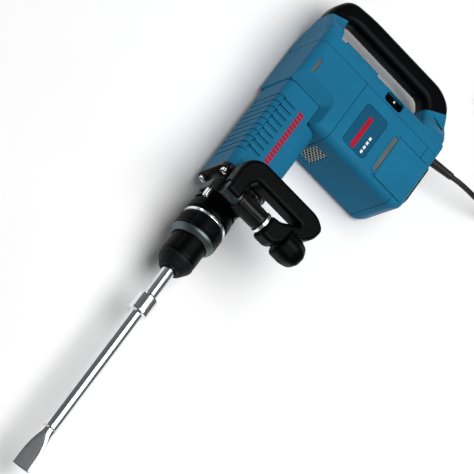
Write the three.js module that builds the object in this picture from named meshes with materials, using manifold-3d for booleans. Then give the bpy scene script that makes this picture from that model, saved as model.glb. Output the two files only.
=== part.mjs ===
// A demolition hammer with a flat chisel, lying on its right side, built as an assembly.
//
// Frame, in millimetres: +X runs along the striking axis towards the chisel, +Y runs from the
// striking axis towards the motor's foot, and +Z points up, out of the tool's left side.
// The origin is on the face that the tool lies on, straight below the point where the crank's
// axis crosses the striking axis. The numbers below measure X from the front seam of the gear
// housing less 7 mm, and the finished tool is moved along X so that the crank is at X = 0.

import * as THREE from 'three';
import { mergeVertices } from 'three/addons/utils/BufferGeometryUtils.js';
import Module from 'manifold-3d';

const wasm = await Module();
wasm.setup();

// ---------------------------------------------------------------- driving dimensions

const HALF_WIDTH = 60; // half the width of the motor housing
const AXIS_Z = HALF_WIDTH; // height of the striking axis above the rest face
const GAP = 0.3; // clearance between faces that touch
const WALL = 4; // wall of the moulded housings
const EDGE = 16; // rounding along the housing's side edges
const BIG = 2000; // longer than anything here, for cutting

// side outline of the housings
const REAR_FACE_X = -106;
const REAR_SEAM_X = -76; // rear housing behind this, gear and motor housings in front
const UPPER_FRONT_X = 7; // front of the gear housing, where the barrel housing starts
const MOTOR_FRONT_X = 46;
const TOP_Y = -45;
const STEP_Y = 22; // upper face of the motor's forward part
const SIDE_SEAM_Y = 57; // gear housing above, motor housing below
const CAP_SEAM_Y = 199; // motor housing above, bottom cap below
const BOTTOM_Y = 224;
const FOOT_CHAMFER = 14;

// barrel housing and front flange
const BARREL_END_X = 189;
const BARREL_HALF = 45;
const BARREL_TOP_Y = -43;
const BARREL_LOW_Y = 51;
const FLANGE_END_X = 197;
const NECK_END_X = 245;
const NECK_R = 29;

// rear handle
const GRIP_HALF = 19;
const GRIP_OUTER_X = -201;
const GRIP_INNER_X = -163;

// tool holder, sleeves and chisel
const HOLDER_R = 22;
const HOLDER_BORE_R = 9.4;
const SHANK_R = 9;
const CHISEL_R = 11;
const SHANK_REAR_X = 283;
const NOSE_X = 372;
const CHISEL_TIP_X = 776;
const ROLLER_X = 322; // rear ends of the two rollers that hold the shank
const ROLLER_Y = 10.7;
const ROLLER_LENGTH = 12;
const CHISEL_PLAY = 26; // how far the locked chisel can slide forwards
const GROOVE_DEPTH = 2.8;
const SLEEVE_REAR_X = 309;
const SLEEVE_POCKET_X = 294; // floor of the pocket in the ring that the sleeve slides into
const SPRING_REAR_X = 326;
const SPRING_FRONT_X = 338;
const BLADE_ROLL = THREE.MathUtils.degToRad(20);

// auxiliary handle, on the left of the neck
const HANDLE_Z = AXIS_Z + 75;
const SHAFT_X = 243;
const CLAMP_REAR_X = 228;
const CLAMP_FRONT_X = 244;
const SHAFT_R = 13;
const HUB_END_Y = 44; // lower end of the clamp's hub
const KNOB_SEAT_Y = 88; // lower end of the shaft, where the clamping knob sits

// hammer mechanism
const CYLINDER_R = 20;
const CYLINDER_BORE_R = 16;
const CRANK_X = -40;
const CRANK_THROW = 20;
const GEAR_TEETH = 56;
const PINION_TEETH = 7;
const GEAR_MODULE = 1;
const GEAR_TIP_R = GEAR_MODULE * GEAR_TEETH / 2 - 0.8;
const PINION_TIP_R = GEAR_MODULE * PINION_TEETH / 2 + 0.6;
const MOTOR_X = CRANK_X + GEAR_MODULE * (GEAR_TEETH + PINION_TEETH) / 2;

// power cord
const CORD_R = 4.5;
const CORD_EXIT = new THREE.Vector3(-98, BOTTOM_Y + GAP, AXIS_Z);
const CORD_TILT = 0.17; // how far the boot leans backwards, per unit of length
const BOOT_LENGTH = 58;
const COIL_CENTRE = new THREE.Vector3(-210, 425, 0);
const COIL_MEAN_R = 49.5;
const COIL_ROWS = 4;
const COIL_COLUMNS = 3;
const COIL_PITCH = 9.2;
const COIL_FLOOR = 1.3; // thickness of the tie under the coil
const TIE_ANGLE = THREE.MathUtils.degToRad(-50);
const TIE_WIDTH = 9;

// ---------------------------------------------------------------- materials

function finish(color, roughness, metalness) {
  return new THREE.MeshStandardMaterial({ color, roughness, metalness });
}

const BLUE = finish(0x1f6a8f, 0.45, 0);
const BLACK = finish(0x17181a, 0.6, 0);
const RUBBER = finish(0x101112, 0.85, 0);
const STEEL = finish(0xb9bcc0, 0.3, 1);
const DARK_STEEL = finish(0x2a2c2e, 0.45, 0.8);
const CAST = finish(0x1b1c1e, 0.5, 0.6);
const COPPER = finish(0xa8613a, 0.4, 1);
const PALE = finish(0xc9c5b4, 0.5, 0);
const BRASS = finish(0xb08a45, 0.35, 1);

// ---------------------------------------------------------------- solids and shapes

function signedVolume(geometry) {
  const position = geometry.attributes.position;
  const index = geometry.index.array;
  const a = new THREE.Vector3();
  const b = new THREE.Vector3();
  const c = new THREE.Vector3();
  let total = 0;
  for (let i = 0; i < index.length; i += 3) {
    a.fromBufferAttribute(position, index[i]);
    b.fromBufferAttribute(position, index[i + 1]);
    c.fromBufferAttribute(position, index[i + 2]);
    total += a.dot(b.cross(c)) / 6;
  }
  return total;
}

// a closed geometry as a boolean solid, with its faces turned outwards
function solid(geometry) {
  const plain = geometry.clone();
  plain.deleteAttribute('normal');
  plain.deleteAttribute('uv');
  const merged = mergeVertices(plain, 1e-4);
  const triVerts = Uint32Array.from(merged.index.array);
  if (signedVolume(merged) < 0) triVerts.reverse();
  const vertProperties = Float32Array.from(merged.attributes.position.array);
  return new wasm.Manifold(new wasm.Mesh({ numProp: 3, vertProperties, triVerts }));
}

function geometryOf(body) {
  const mesh = body.getMesh();
  const geometry = new THREE.BufferGeometry();
  geometry.setAttribute('position', new THREE.BufferAttribute(mesh.vertProperties, 3));
  geometry.setIndex(new THREE.BufferAttribute(mesh.triVerts, 1));
  geometry.computeVertexNormals();
  return geometry;
}

function box(x0, x1, y0, y1, z0, z1) {
  const geometry = new THREE.BoxGeometry(x1 - x0, y1 - y0, z1 - z0);
  return solid(geometry.translate((x0 + x1) / 2, (y0 + y1) / 2, (z0 + z1) / 2));
}

function polygon(points) {
  return new THREE.Shape(points.map(([a, b]) => new THREE.Vector2(a, b)));
}

// an outline whose corners [a, b, radius] are rounded
function rounded(corners) {
  const shape = new THREE.Shape();
  corners.forEach(([a, b, radius], i) => {
    if (radius === 0) {
      if (i === 0) shape.moveTo(a, b);
      else shape.lineTo(a, b);
      return;
    }
    const corner = new THREE.Vector2(a, b);
    const before = new THREE.Vector2(...corners.at(i - 1));
    const after = new THREE.Vector2(...corners[(i + 1) % corners.length]);
    const start = before.sub(corner).setLength(radius).add(corner);
    const end = after.sub(corner).setLength(radius).add(corner);
    if (i === 0) shape.moveTo(start.x, start.y);
    else shape.lineTo(start.x, start.y);
    shape.quadraticCurveTo(a, b, end.x, end.y);
  });
  return shape;
}

function roundedRect(a0, a1, b0, b1, radius) {
  return rounded([[a0, b0, radius], [a1, b0, radius], [a1, b1, radius], [a0, b1, radius]]);
}

function extruded(shape, depth, bevel, curveSegments = 3) {
  return new THREE.ExtrudeGeometry(shape, {
    depth: depth - 2 * bevel,
    curveSegments,
    bevelEnabled: bevel > 0,
    bevelThickness: bevel,
    bevelSize: bevel,
    bevelOffset: -bevel,
    bevelSegments: 2,
  }).translate(0, 0, bevel);
}

// a shape in X and Y, standing from z0 to z1
function alongZ(shape, z0, z1, bevel = 0, curveSegments = 3) {
  return solid(extruded(shape, z1 - z0, bevel, curveSegments).translate(0, 0, z0));
}

// a shape in Y and Z, running from x0 to x1
function alongX(shape, x0, x1, bevel = 0, curveSegments = 3) {
  const turn = new THREE.Matrix4().makeBasis(
    new THREE.Vector3(0, 1, 0), new THREE.Vector3(0, 0, 1), new THREE.Vector3(1, 0, 0));
  return solid(extruded(shape, x1 - x0, bevel, curveSegments).applyMatrix4(turn).translate(x0, 0, 0));
}

// a shape in Z and X, running from y0 to y1
function alongY(shape, y0, y1, bevel = 0, curveSegments = 3) {
  const turn = new THREE.Matrix4().makeBasis(
    new THREE.Vector3(0, 0, 1), new THREE.Vector3(1, 0, 0), new THREE.Vector3(0, 1, 0));
  return solid(extruded(shape, y1 - y0, bevel, curveSegments).applyMatrix4(turn).translate(0, y0, 0));
}

// a profile of [distance along the axis, radius], turned about that axis
function turned(profile, segments = 24) {
  return new THREE.LatheGeometry(profile.map(([at, radius]) => new THREE.Vector2(radius, at)), segments);
}

function turnedX(profile, segments, y = 0, z = AXIS_Z) {
  return solid(turned(profile, segments).rotateZ(-Math.PI / 2).translate(0, y, z));
}

function turnedY(profile, x, z, segments) {
  return solid(turned(profile, segments).translate(x, 0, z));
}

function turnedZ(profile, x, y, segments) {
  return solid(turned(profile, segments).rotateX(Math.PI / 2).translate(x, y, 0));
}

// profiles for the three above
function rod(from, to, radius) {
  return [[from, 0], [from, radius], [to, radius], [to, 0]];
}

function ring(from, to, inner, outer) {
  return [[from, inner], [from, outer], [to, outer], [to, inner], [from, inner]];
}

// ---------------------------------------------------------------- the assembly

const hammer = new THREE.Group();
const tool = new THREE.Group();
tool.position.x = -CRANK_X;
hammer.add(tool);

function add(name, body, material) {
  const geometry = body.isBufferGeometry ? body : geometryOf(body);
  const mesh = new THREE.Mesh(geometry, material);
  mesh.name = name;
  tool.add(mesh);
}

// ---------------------------------------------------------------- housings

// the outer form of the gear, motor, foot and rear housings together, made smaller by inset
function housingForm(inset) {
  const rear = REAR_FACE_X + inset;
  const front = MOTOR_FRONT_X - inset;
  const upperFront = UPPER_FRONT_X - inset;
  const top = TOP_Y + inset;
  const step = STEP_Y + inset;
  const bottom = BOTTOM_Y - inset;
  const outline = polygon([
    [rear, top], [upperFront, top], [upperFront, step], [front, step],
    [front, BOTTOM_Y - FOOT_CHAMFER], [front - FOOT_CHAMFER, bottom], [rear, bottom],
  ]);
  return alongZ(outline, inset, 2 * HALF_WIDTH - inset, EDGE - inset / 2);
}

const shell = housingForm(0).subtract(housingForm(WALL));

function slice(x0, x1, y0, y1) {
  return shell.intersect(box(x0, x1, y0, y1, -BIG, BIG));
}

// the left face's pocket for the service cover or the name plate
function facePocket(x0, x1, y0, y1, depth) {
  return box(x0, x1, y0, y1, 2 * HALF_WIDTH - depth, 2 * HALF_WIDTH + 10);
}

function rightPocket(x0, x1, y0, y1, depth) {
  return box(x0, x1, y0, y1, -10, depth);
}

const COVER = [-52, 33, 150, 216]; // service cover: x0, x1, y0, y1
const PLATE = [-54, 28, 76, 124]; // name plate: x0, x1, y0, y1
const COVER_DEPTH = 2;
const PLATE_DEPTH = 1.4;

function gearHousing() {
  const body = slice(REAR_SEAM_X + GAP, BIG, -BIG, SIDE_SEAM_Y - GAP);
  const barrelHole = turnedX(rod(UPPER_FRONT_X - 3 * WALL, UPPER_FRONT_X + 1, CYLINDER_R + 1), 28);
  add('gear_housing', body.subtract(barrelHole), BLUE);
}

function motorHousing() {
  const body = slice(REAR_SEAM_X + GAP, BIG, SIDE_SEAM_Y, CAP_SEAM_Y - GAP);
  const cut = body
    .subtract(facePocket(...COVER, COVER_DEPTH))
    .subtract(rightPocket(...COVER, COVER_DEPTH))
    .subtract(facePocket(...PLATE, PLATE_DEPTH));
  add('motor_housing', cut, BLUE);
}

function bottomCap() {
  const body = slice(REAR_SEAM_X + GAP, BIG, CAP_SEAM_Y, BIG);
  const cut = body
    .subtract(facePocket(...COVER, COVER_DEPTH))
    .subtract(rightPocket(...COVER, COVER_DEPTH));
  add('bottom_cap', cut, BLUE);
}

function inset([x0, x1, y0, y1], by) {
  return [x0 + by, x1 - by, y0 + by, y1 - by];
}

function coversAndPlate() {
  const top = 2 * HALF_WIDTH;
  const cover = inset(COVER, GAP);
  add('left_service_cover', box(...cover, top - COVER_DEPTH + GAP, top), BLUE);
  add('right_service_cover', box(...cover, 0, COVER_DEPTH - GAP), BLUE);
  add('name_plate', box(...inset(PLATE, GAP), top - PLATE_DEPTH + GAP, top), BLACK);
}

// black rubber pad under the foot
function bottomBumper() {
  const outline = roundedRect(24, 96, -70, 12, 12);
  add('bottom_bumper', alongY(outline, BOTTOM_Y + GAP, BOTTOM_Y + 7, 3), RUBBER);
}

// ---------------------------------------------------------------- rear housing and handle

// side outline of the two handle arms and the grip, as one loop open towards the front
function handleLoop(half, bevel) {
  const front = REAR_FACE_X + 20;
  const loop = rounded([
    [front, TOP_Y, 0], [-158, -49, 16], [-195, -30, 18], [GRIP_OUTER_X, 20, 18],
    [GRIP_OUTER_X, 178, 15], [-186, 206, 15], [-140, BOTTOM_Y, 16], [front, BOTTOM_Y, 0],
    [front, 168, 0], [-150, 171, 6], [GRIP_INNER_X, 160, 6], [GRIP_INNER_X, 0, 6],
    [-156, -15, 6], [front, -14, 0],
  ]);
  return alongZ(loop, AXIS_Z - half, AXIS_Z + half, bevel);
}

// everything behind a slanted cut through (x, y), moved forwards by gap
function behind(x, y, angle, gap) {
  const geometry = new THREE.BoxGeometry(BIG, BIG, BIG).translate(-BIG / 2, 0, 0);
  return solid(geometry.rotateZ(angle).translate(x + gap, y, 0));
}

// the space of the grip, between the slanted joints with the two arms
function gripSpace(gap) {
  const middleY = 80;
  const upper = behind(-150, -32, THREE.MathUtils.degToRad(38), gap)
    .intersect(box(-BIG, BIG, -BIG, middleY, -BIG, BIG));
  const lower = behind(-158, 190, THREE.MathUtils.degToRad(31), gap)
    .intersect(box(-BIG, BIG, middleY, BIG, -BIG, BIG));
  return upper.add(lower).add(box(-BIG, GRIP_INNER_X + 7, -12, middleY, -BIG, BIG));
}

// arms narrow from the housing's width to the grip's
function armPlan() {
  const front = REAR_FACE_X + 20;
  const wide = 52;
  const narrow = 22;
  const outline = polygon([
    [AXIS_Z - wide, front], [AXIS_Z + wide, front], [AXIS_Z + wide, REAR_FACE_X],
    [AXIS_Z + narrow, -152], [AXIS_Z + narrow, -210], [AXIS_Z - narrow, -210],
    [AXIS_Z - narrow, -152], [AXIS_Z - wide, REAR_FACE_X],
  ]);
  return alongY(outline, -BIG / 2, BIG / 2);
}

function rearHousing() {
  const cavity = housingForm(WALL);
  const arms = handleLoop(56, 12)
    .intersect(armPlan())
    .subtract(gripSpace(2 * GAP))
    .subtract(cavity);
  const ledge = box(-115, REAR_FACE_X + 1, -4, 68, AXIS_Z - 24, AXIS_Z + 24);
  const dialSlot = box(-95, -81, 94, 126, AXIS_Z + 40, BIG);
  const cordHole = turnedY(rod(BOTTOM_Y - 8, BOTTOM_Y + 2, 8), CORD_EXIT.x, AXIS_Z, 20);
  const body = slice(-BIG, REAR_SEAM_X, -BIG, BIG)
    .add(arms.intersect(box(-BIG, REAR_SEAM_X, -BIG, BIG, -BIG, BIG)))
    .add(ledge.subtract(cavity))
    .subtract(dialSlot)
    .subtract(cordHole);
  add('rear_housing', body, BLUE);
}

function rearGrip() {
  add('rear_grip', handleLoop(GRIP_HALF, 13).intersect(gripSpace(0)), BLACK);
}

function controls() {
  const slider = box(-120, -115 - GAP, 14, 50, AXIS_Z - 10, AXIS_Z + 10);
  add('on_off_switch', slider, BLACK);
  add('speed_dial', turnedX(rod(-92.5, -83.5, 15), 24, 110, AXIS_Z + 44.5), BLACK);
  const lens = roundedRect(-95, -88, 147, 153, 1.5);
  add('indicator_lens', alongZ(lens, 2 * HALF_WIDTH - 16 + GAP, 2 * HALF_WIDTH - 14), PALE);
}

// ---------------------------------------------------------------- barrel

function barrelHousing() {
  function section(inset) {
    const top = BARREL_TOP_Y + inset;
    const low = BARREL_LOW_Y - inset;
    const half = BARREL_HALF - inset;
    return rounded([
      [top, AXIS_Z - half, 15], [low, AXIS_Z - half, 34],
      [low, AXIS_Z + half, 34], [top, AXIS_Z + half, 15],
    ]);
  }
  const start = UPPER_FRONT_X + GAP;
  let body = alongX(section(0), start, BARREL_END_X)
    .subtract(alongX(section(WALL), start - 1, BARREL_END_X + 1))
    .subtract(box(-BIG, MOTOR_FRONT_X + GAP, STEP_Y - GAP, BIG, -BIG, BIG));
  const ventPitch = 12.9;
  for (let i = 0; i < 9; i++) {
    const x = 44 + i * ventPitch;
    body = body.subtract(box(x - 1.5, x + 1.5, -33, -8, -BIG, BIG));
  }
  add('barrel_housing', body, BLUE);
}

// cast flange on the barrel's front, with the neck that the handle clamps on
function frontFlange() {
  const outline = rounded([
    [TOP_Y, AXIS_Z - 44, 16], [48, AXIS_Z - 44, 30], [48, AXIS_Z + 44, 30], [TOP_Y, AXIS_Z + 44, 16],
  ]);
  const neck = turnedX([
    [BARREL_END_X + 2, 0], [BARREL_END_X + 2, 34], [FLANGE_END_X + 4, 34], [FLANGE_END_X + 10, NECK_R + 2],
    [222, NECK_R + 2], [224, NECK_R], [NECK_END_X, NECK_R], [NECK_END_X, 0],
  ]);
  const body = alongX(outline, BARREL_END_X + GAP, FLANGE_END_X)
    .add(neck)
    .subtract(turnedX(rod(BARREL_END_X - 1, NECK_END_X + 1, HOLDER_R + 0.4)));
  add('front_flange', body, CAST);
}

function flangeScrews() {
  const places = [[-35, -32], [-35, 32], [32, -27], [32, 27]];
  places.forEach(([y, side], i) => {
    const head = turnedX(rod(FLANGE_END_X + GAP, FLANGE_END_X + 7, 6), 12, y, AXIS_Z + side);
    const socket = turnedX(rod(FLANGE_END_X + 3, FLANGE_END_X + 8, 2.8), 6, y, AXIS_Z + side);
    add(`flange_screw_${i + 1}`, head.subtract(socket), STEEL);
  });
}

// ---------------------------------------------------------------- auxiliary handle

function handleClamp() {
  const x0 = CLAMP_REAR_X;
  const x1 = CLAMP_FRONT_X;
  const band = turnedX(rod(x0, x1, NECK_R + 7));
  const hubTop = -3.5;
  const arm = box(x0, x1, hubTop, 28, AXIS_Z, HANDLE_Z);
  const yoke = box(x0 + 1, x1, -46, hubTop + 1, AXIS_Z + 20, HANDLE_Z - 17);
  const hub = turnedY(rod(hubTop, HUB_END_Y, SHAFT_R + 4), SHAFT_X, HANDLE_Z, 20);
  const body = band.add(arm).add(yoke).add(hub)
    .subtract(turnedX(rod(x0 - 1, x1 + 1, NECK_R + GAP)))
    .subtract(turnedY(rod(-60, 60, SHAFT_R + GAP), SHAFT_X, HANDLE_Z, 20));
  add('handle_clamp', body, CAST);
}

function handleGrip() {
  const outline = rounded([
    [SHAFT_X + 8, -34, 4], [190, -34, 14], [171, -12, 14], [171, 112, 12],
    [184, 131, 9], [206, 127, 8], [SHAFT_X + 21, 78, 8], [SHAFT_X + 21, 52, 6],
    [SHAFT_X - 16, 52, 4], [SHAFT_X - 18, 68, 4], [205, 98, 6], [205, 2, 5],
    [214, -4, 4], [SHAFT_X + 8, -6, 4],
  ]);
  const socket = turnedY(rod(-60, 150, SHAFT_R + GAP), SHAFT_X, HANDLE_Z, 20);
  const knobSeat = turnedY(rod(KNOB_SEAT_Y, 150, 26), SHAFT_X, HANDLE_Z, 20);
  return alongZ(outline, HANDLE_Z - 16, HANDLE_Z + 16, 3).subtract(socket).subtract(knobSeat);
}

function auxiliaryHandle() {
  const pieces = handleGrip().decompose();
  pieces.sort((a, b) => b.volume() - a.volume());
  add('aux_handle_grip', pieces[0], BLACK);
  add('handle_shaft', turnedY(rod(-32, KNOB_SEAT_Y, SHAFT_R), SHAFT_X, HANDLE_Z, 20), DARK_STEEL);
  add('shaft_ring', turnedY(ring(HUB_END_Y + 1.5, 50.5, SHAFT_R + GAP, 18.5), SHAFT_X, HANDLE_Z, 20), STEEL);
  const knob = [
    [KNOB_SEAT_Y + GAP, 0], [KNOB_SEAT_Y + GAP, 23], [92, 25], [112, 25], [126, 20.5], [132, 13], [134, 0],
  ];
  add('clamp_knob', turnedY(knob, SHAFT_X, HANDLE_Z, 24), BLACK);
}

// ---------------------------------------------------------------- tool holder and chisel

function toolHolder() {
  const bore = turnedX([
    [198, 0], [198, 14.4], [262, 14.4], [262, HOLDER_BORE_R], [353, HOLDER_BORE_R], [353, 0],
  ]);
  const slots = box(ROLLER_X - 1, ROLLER_X + ROLLER_LENGTH + 1, -30, 30, AXIS_Z - 4.5, AXIS_Z + 4.5);
  add('tool_holder', turnedX(rod(200, 351, HOLDER_R)).subtract(bore).subtract(slots), STEEL);
  const lockRollers = [['lock_roller_a', -ROLLER_Y], ['lock_roller_b', ROLLER_Y]];
  lockRollers.forEach(([name, y]) => {
    add(name, turnedX(rod(ROLLER_X, ROLLER_X + ROLLER_LENGTH, 4), 12, y), STEEL);
  });
}

function sleeves() {
  const inner = HOLDER_R + GAP;
  const collar = [[246, inner], [246, 33], [251, 36.5], [266, 37.5], [271, 35], [271, inner], [246, inner]];
  add('chuck_rear_collar', turnedX(collar), BLACK);
  add('retaining_ring', turnedX(ring(271.5, 276, inner, 36)), STEEL);
  const sleeveR = 29.3;
  const pocketR = sleeveR + 2 * GAP;
  const vario = [
    [276.5, inner], [276.5, 35], [281, 38], [305, 38], [309, 36.5], [315, 31.5], [315, pocketR],
    [SLEEVE_POCKET_X, pocketR], [SLEEVE_POCKET_X, inner], [276.5, inner],
  ];
  add('vario_ring', turnedX(vario, 28), BLACK);
  const sleeve = [
    [SLEEVE_REAR_X, 27], [SLEEVE_REAR_X, sleeveR], [351, sleeveR], [351, inner],
    [SPRING_FRONT_X + 1, inner], [SPRING_FRONT_X + 1, 27], [SLEEVE_REAR_X, 27],
  ];
  add('locking_sleeve', turnedX(sleeve), BLACK);
  const capHole = CHISEL_R + 0.5;
  const cap = [
    [351.5, capHole], [351.5, 29.5], [357, 29.5], [364, 26.5], [369, 21.5], [NOSE_X, 18],
    [NOSE_X, capHole], [351.5, capHole],
  ];
  add('dust_cap', turnedX(cap), RUBBER);
}

// helix of the spring that pushes the locking sleeve forwards
class Helix extends THREE.Curve {
  constructor(x0, x1, radius, turns) {
    super();
    Object.assign(this, { x0, x1, radius, turns });
  }

  getPoint(t, target = new THREE.Vector3()) {
    const angle = 2 * Math.PI * this.turns * t;
    const y = this.radius * Math.cos(angle);
    const z = AXIS_Z + this.radius * Math.sin(angle);
    return target.set(this.x0 + (this.x1 - this.x0) * t, y, z);
  }
}

function lockSpring() {
  const section = polygon([[1, 0], [0.5, 0.87], [-0.5, 0.87], [-1, 0], [-0.5, -0.87], [0.5, -0.87]]);
  const extrudePath = new Helix(SPRING_REAR_X + 1.2, SPRING_FRONT_X - 1.2, HOLDER_R + 2.2, 2.5);
  add('lock_spring', solid(new THREE.ExtrudeGeometry(section, { extrudePath, steps: 36 })), STEEL);
}

function flatChisel() {
  const shaft = turnedX([
    [SHANK_REAR_X, 0], [SHANK_REAR_X, 7], [SHANK_REAR_X + 3, SHANK_R], [353, SHANK_R],
    [357, CHISEL_R], [427, CHISEL_R], [430, 15], [434, 16], [460, 16], [464, 15],
    [467, CHISEL_R], [712, CHISEL_R], [712, 0],
  ]);
  const side = polygon([[-1.2, CHISEL_TIP_X], [-CHISEL_R, 711], [CHISEL_R, 711], [1.2, CHISEL_TIP_X]]);
  const plan = polygon([
    [711, -CHISEL_R], [CHISEL_TIP_X - 22, -14], [CHISEL_TIP_X, -14],
    [CHISEL_TIP_X, 14], [CHISEL_TIP_X - 22, 14], [711, CHISEL_R],
  ]);
  const start = turnedX(rod(690, CHISEL_TIP_X + 10, 14.4), 24, 0, 0);
  const blade = alongY(side, -20, 20).intersect(alongZ(plan, -20, 20)).intersect(start);
  const turn = new THREE.Matrix4().makeRotationX(BLADE_ROLL);
  const placed = solid(geometryOf(blade).applyMatrix4(turn).translate(0, 0, AXIS_Z));
  const grooveFrontX = ROLLER_X + ROLLER_LENGTH + 1;
  const grooveRearX = ROLLER_X - CHISEL_PLAY - 1;
  const grooveY = SHANK_R - GROOVE_DEPTH;
  const grooves = box(grooveRearX, grooveFrontX, grooveY, 2 * SHANK_R, 0, BIG)
    .add(box(grooveRearX, grooveFrontX, -2 * SHANK_R, -grooveY, 0, BIG));
  add('flat_chisel', shaft.add(placed).subtract(grooves), STEEL);
}

// ---------------------------------------------------------------- hammer mechanism

function hammerMechanism() {
  add('cylinder_tube', turnedX(ring(-6, 160, CYLINDER_BORE_R, CYLINDER_R)), STEEL);
  const slide = CYLINDER_BORE_R - 0.3;
  const hollow = turnedX(rod(37, 60, 10.5), 20);
  const pinHole = turnedY(rod(-30, 30, 4.3), 50, AXIS_Z, 12);
  add('piston', turnedX(rod(38, 72, slide)).subtract(hollow).subtract(pinHole), STEEL);
  add('piston_pin', turnedY(rod(-14, 14, 4), 50, AXIS_Z, 12), STEEL);
  const bigEnd = turnedY(rod(-6, 6, 11), CRANK_X + CRANK_THROW, AXIS_Z, 20);
  const smallEnd = turnedY(rod(-6, 6, 7), 50, AXIS_Z, 16);
  const shank = box(CRANK_X + CRANK_THROW, 50, -4, 4, AXIS_Z - 5, AXIS_Z + 5);
  const eye = turnedY(rod(-20, 20, 6.5), CRANK_X + CRANK_THROW, AXIS_Z, 16);
  add('connecting_rod', bigEnd.add(smallEnd).add(shank).subtract(eye).subtract(pinHole), DARK_STEEL);
  add('striker', turnedX([[92, 0], [92, slide], [130, slide], [134, 12], [140, 11], [140, 0]]), STEEL);
  const bolt = [
    [161, 0], [161, 10], [170, 10], [172, 14], [236, 14], [239, SHANK_R], [282.4, SHANK_R], [282.4, 0],
  ];
  add('impact_bolt', turnedX(bolt), STEEL);
  add('damper_ring', turnedX(ring(171, 179, 15, 21)), RUBBER);
}

function toothedDisc(teeth, tipRadius, depth) {
  const points = [];
  for (let i = 0; i < teeth; i++) {
    const tip = 2 * Math.PI * i / teeth;
    const root = 2 * Math.PI * (i + 0.5) / teeth;
    points.push([tipRadius * Math.sin(tip), tipRadius * Math.cos(tip)]);
    points.push([(tipRadius - depth) * Math.sin(root), (tipRadius - depth) * Math.cos(root)]);
  }
  return polygon(points);
}

function crankDrive() {
  const gear = alongY(toothedDisc(GEAR_TEETH, GEAR_TIP_R, 1.6), 30, 41);
  const hub = turnedY(rod(40, 55, 8), 0, 0, 20);
  const pin = turnedY(rod(7, 31, 5.5), CRANK_THROW, 0, 16);
  const body = gear.add(hub).add(pin).translate([CRANK_X, 0, AXIS_Z]);
  add('crank_gear', body, STEEL);
  add('crank_bearing', turnedY(ring(44, 54, 8 + GAP, 16), CRANK_X, AXIS_Z, 20), STEEL);
}

function motor() {
  const shaft = turnedY(rod(42, 214, 5), 0, 0, 14);
  const pinion = alongY(toothedDisc(PINION_TEETH, PINION_TIP_R, 1.4), 29, 43);
  const core = turnedY(rod(92, 158, 24), 0, 0, 24);
  const commutator = turnedY(rod(174, 190, 14), 0, 0, 20);
  const rotor = shaft.add(pinion).add(core).add(commutator).translate([MOTOR_X, 0, AXIS_Z]);
  add('armature', rotor, COPPER);
  const hub = turnedY(ring(68, 82, 5 + GAP, 12), 0, 0, 20);
  let fan = hub.add(turnedY(ring(80, 82, 10, 38), 0, 0, 24));
  const blades = 9;
  for (let i = 0; i < blades; i++) {
    const blade = new THREE.BoxGeometry(27, 12, 1.6).translate(24, 75, 0);
    fan = fan.add(solid(blade.rotateY(2 * Math.PI * i / blades)));
  }
  add('cooling_fan', fan.translate([MOTOR_X, 0, AXIS_Z]), BLACK);
  add('stator', turnedY(ring(88, 162, 25, 42), MOTOR_X, AXIS_Z, 24), DARK_STEEL);
  add('upper_bearing', turnedY(ring(60, 66, 5 + GAP, 13), MOTOR_X, AXIS_Z, 20), STEEL);
  add('lower_bearing', turnedY(ring(204, 212, 5 + GAP, 12), MOTOR_X, AXIS_Z, 20), STEEL);
  const brushSides = [['a', -1], ['b', 1]];
  brushSides.forEach(([letter, side]) => {
    const z = AXIS_Z + side * 27;
    const holder = box(MOTOR_X - 7, MOTOR_X + 7, 176, 188, z - 10, z + 10);
    const channel = box(MOTOR_X - 4.3, MOTOR_X + 4.3, 178.7, 185.3, z - 20, z + 20);
    add(`brush_holder_${letter}`, holder.subtract(channel), BRASS);
    const brushZ = AXIS_Z + side * 23;
    const brush = box(MOTOR_X - 4, MOTOR_X + 4, 179, 185, brushZ - 8.5, brushZ + 8.5);
    add(`carbon_brush_${letter}`, brush, BLACK);
  });
}

function electrics() {
  add('switch_block', box(-101, -82, 10, 52, AXIS_Z - 14, AXIS_Z + 14), BLACK);
  add('electronics_module', box(-101, -80, 64, 88, AXIS_Z - 30, AXIS_Z + 30), PALE);
  const clamp = box(-100, -84, 196, 206, AXIS_Z - 15, AXIS_Z + 15);
  const channel = turnedY(rod(190, 210, CORD_R + 0.4), -92, AXIS_Z, 12);
  add('cable_clamp', clamp.subtract(channel), BLACK);
}

// ---------------------------------------------------------------- power cord

const bootAxis = new THREE.Vector3(-CORD_TILT, 1, 0).normalize();
const bootEnd = CORD_EXIT.clone().addScaledVector(bootAxis, BOOT_LENGTH);

function cableBoot() {
  const profile = [
    [0.4, CORD_R + GAP], [0.4, 9.5], [6, 9.5], [8, 8], [BOOT_LENGTH, 6], [BOOT_LENGTH, CORD_R + GAP],
    [0.4, CORD_R + GAP],
  ];
  const turn = new THREE.Quaternion().setFromUnitVectors(new THREE.Vector3(0, 1, 0), bootAxis);
  const geometry = turned(profile, 16).applyQuaternion(turn).translate(...CORD_EXIT);
  const trim = box(-BIG, BIG, BOTTOM_Y + GAP, BIG, -BIG, BIG);
  add('cable_boot', solid(geometry).intersect(trim), RUBBER);
}

// centre line of the free cord: out of the boot, down to the floor, and along it to the coil
const CORD_ROUTE = [
  [bootEnd.x, bootEnd.y + 1, AXIS_Z], [-110.6, 296, 59.6], [-114, 314, 57], [-118.5, 334, 51],
  [-124, 354, 42], [-129.5, 373, 31], [-134.5, 391, 20], [-138.5, 409, 10.5], [-141.5, 427, 5.4],
  [-143.2, 446.6, 4.8], [-153, 466.4, 4.8], [-168.6, 482, 4.8], [-188.3, 491.8, 5.1], [-204, 494.8, 5.6],
];

// end of the cord: off the coil and into the plug
const TAIL_ROUTE = [
  [-277, 404, 27], [-278, 394, 22], [-279, 382, 17], [-280, 368, 15], [-280, 355, 16.5], [-280, 342, 19],
];

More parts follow.
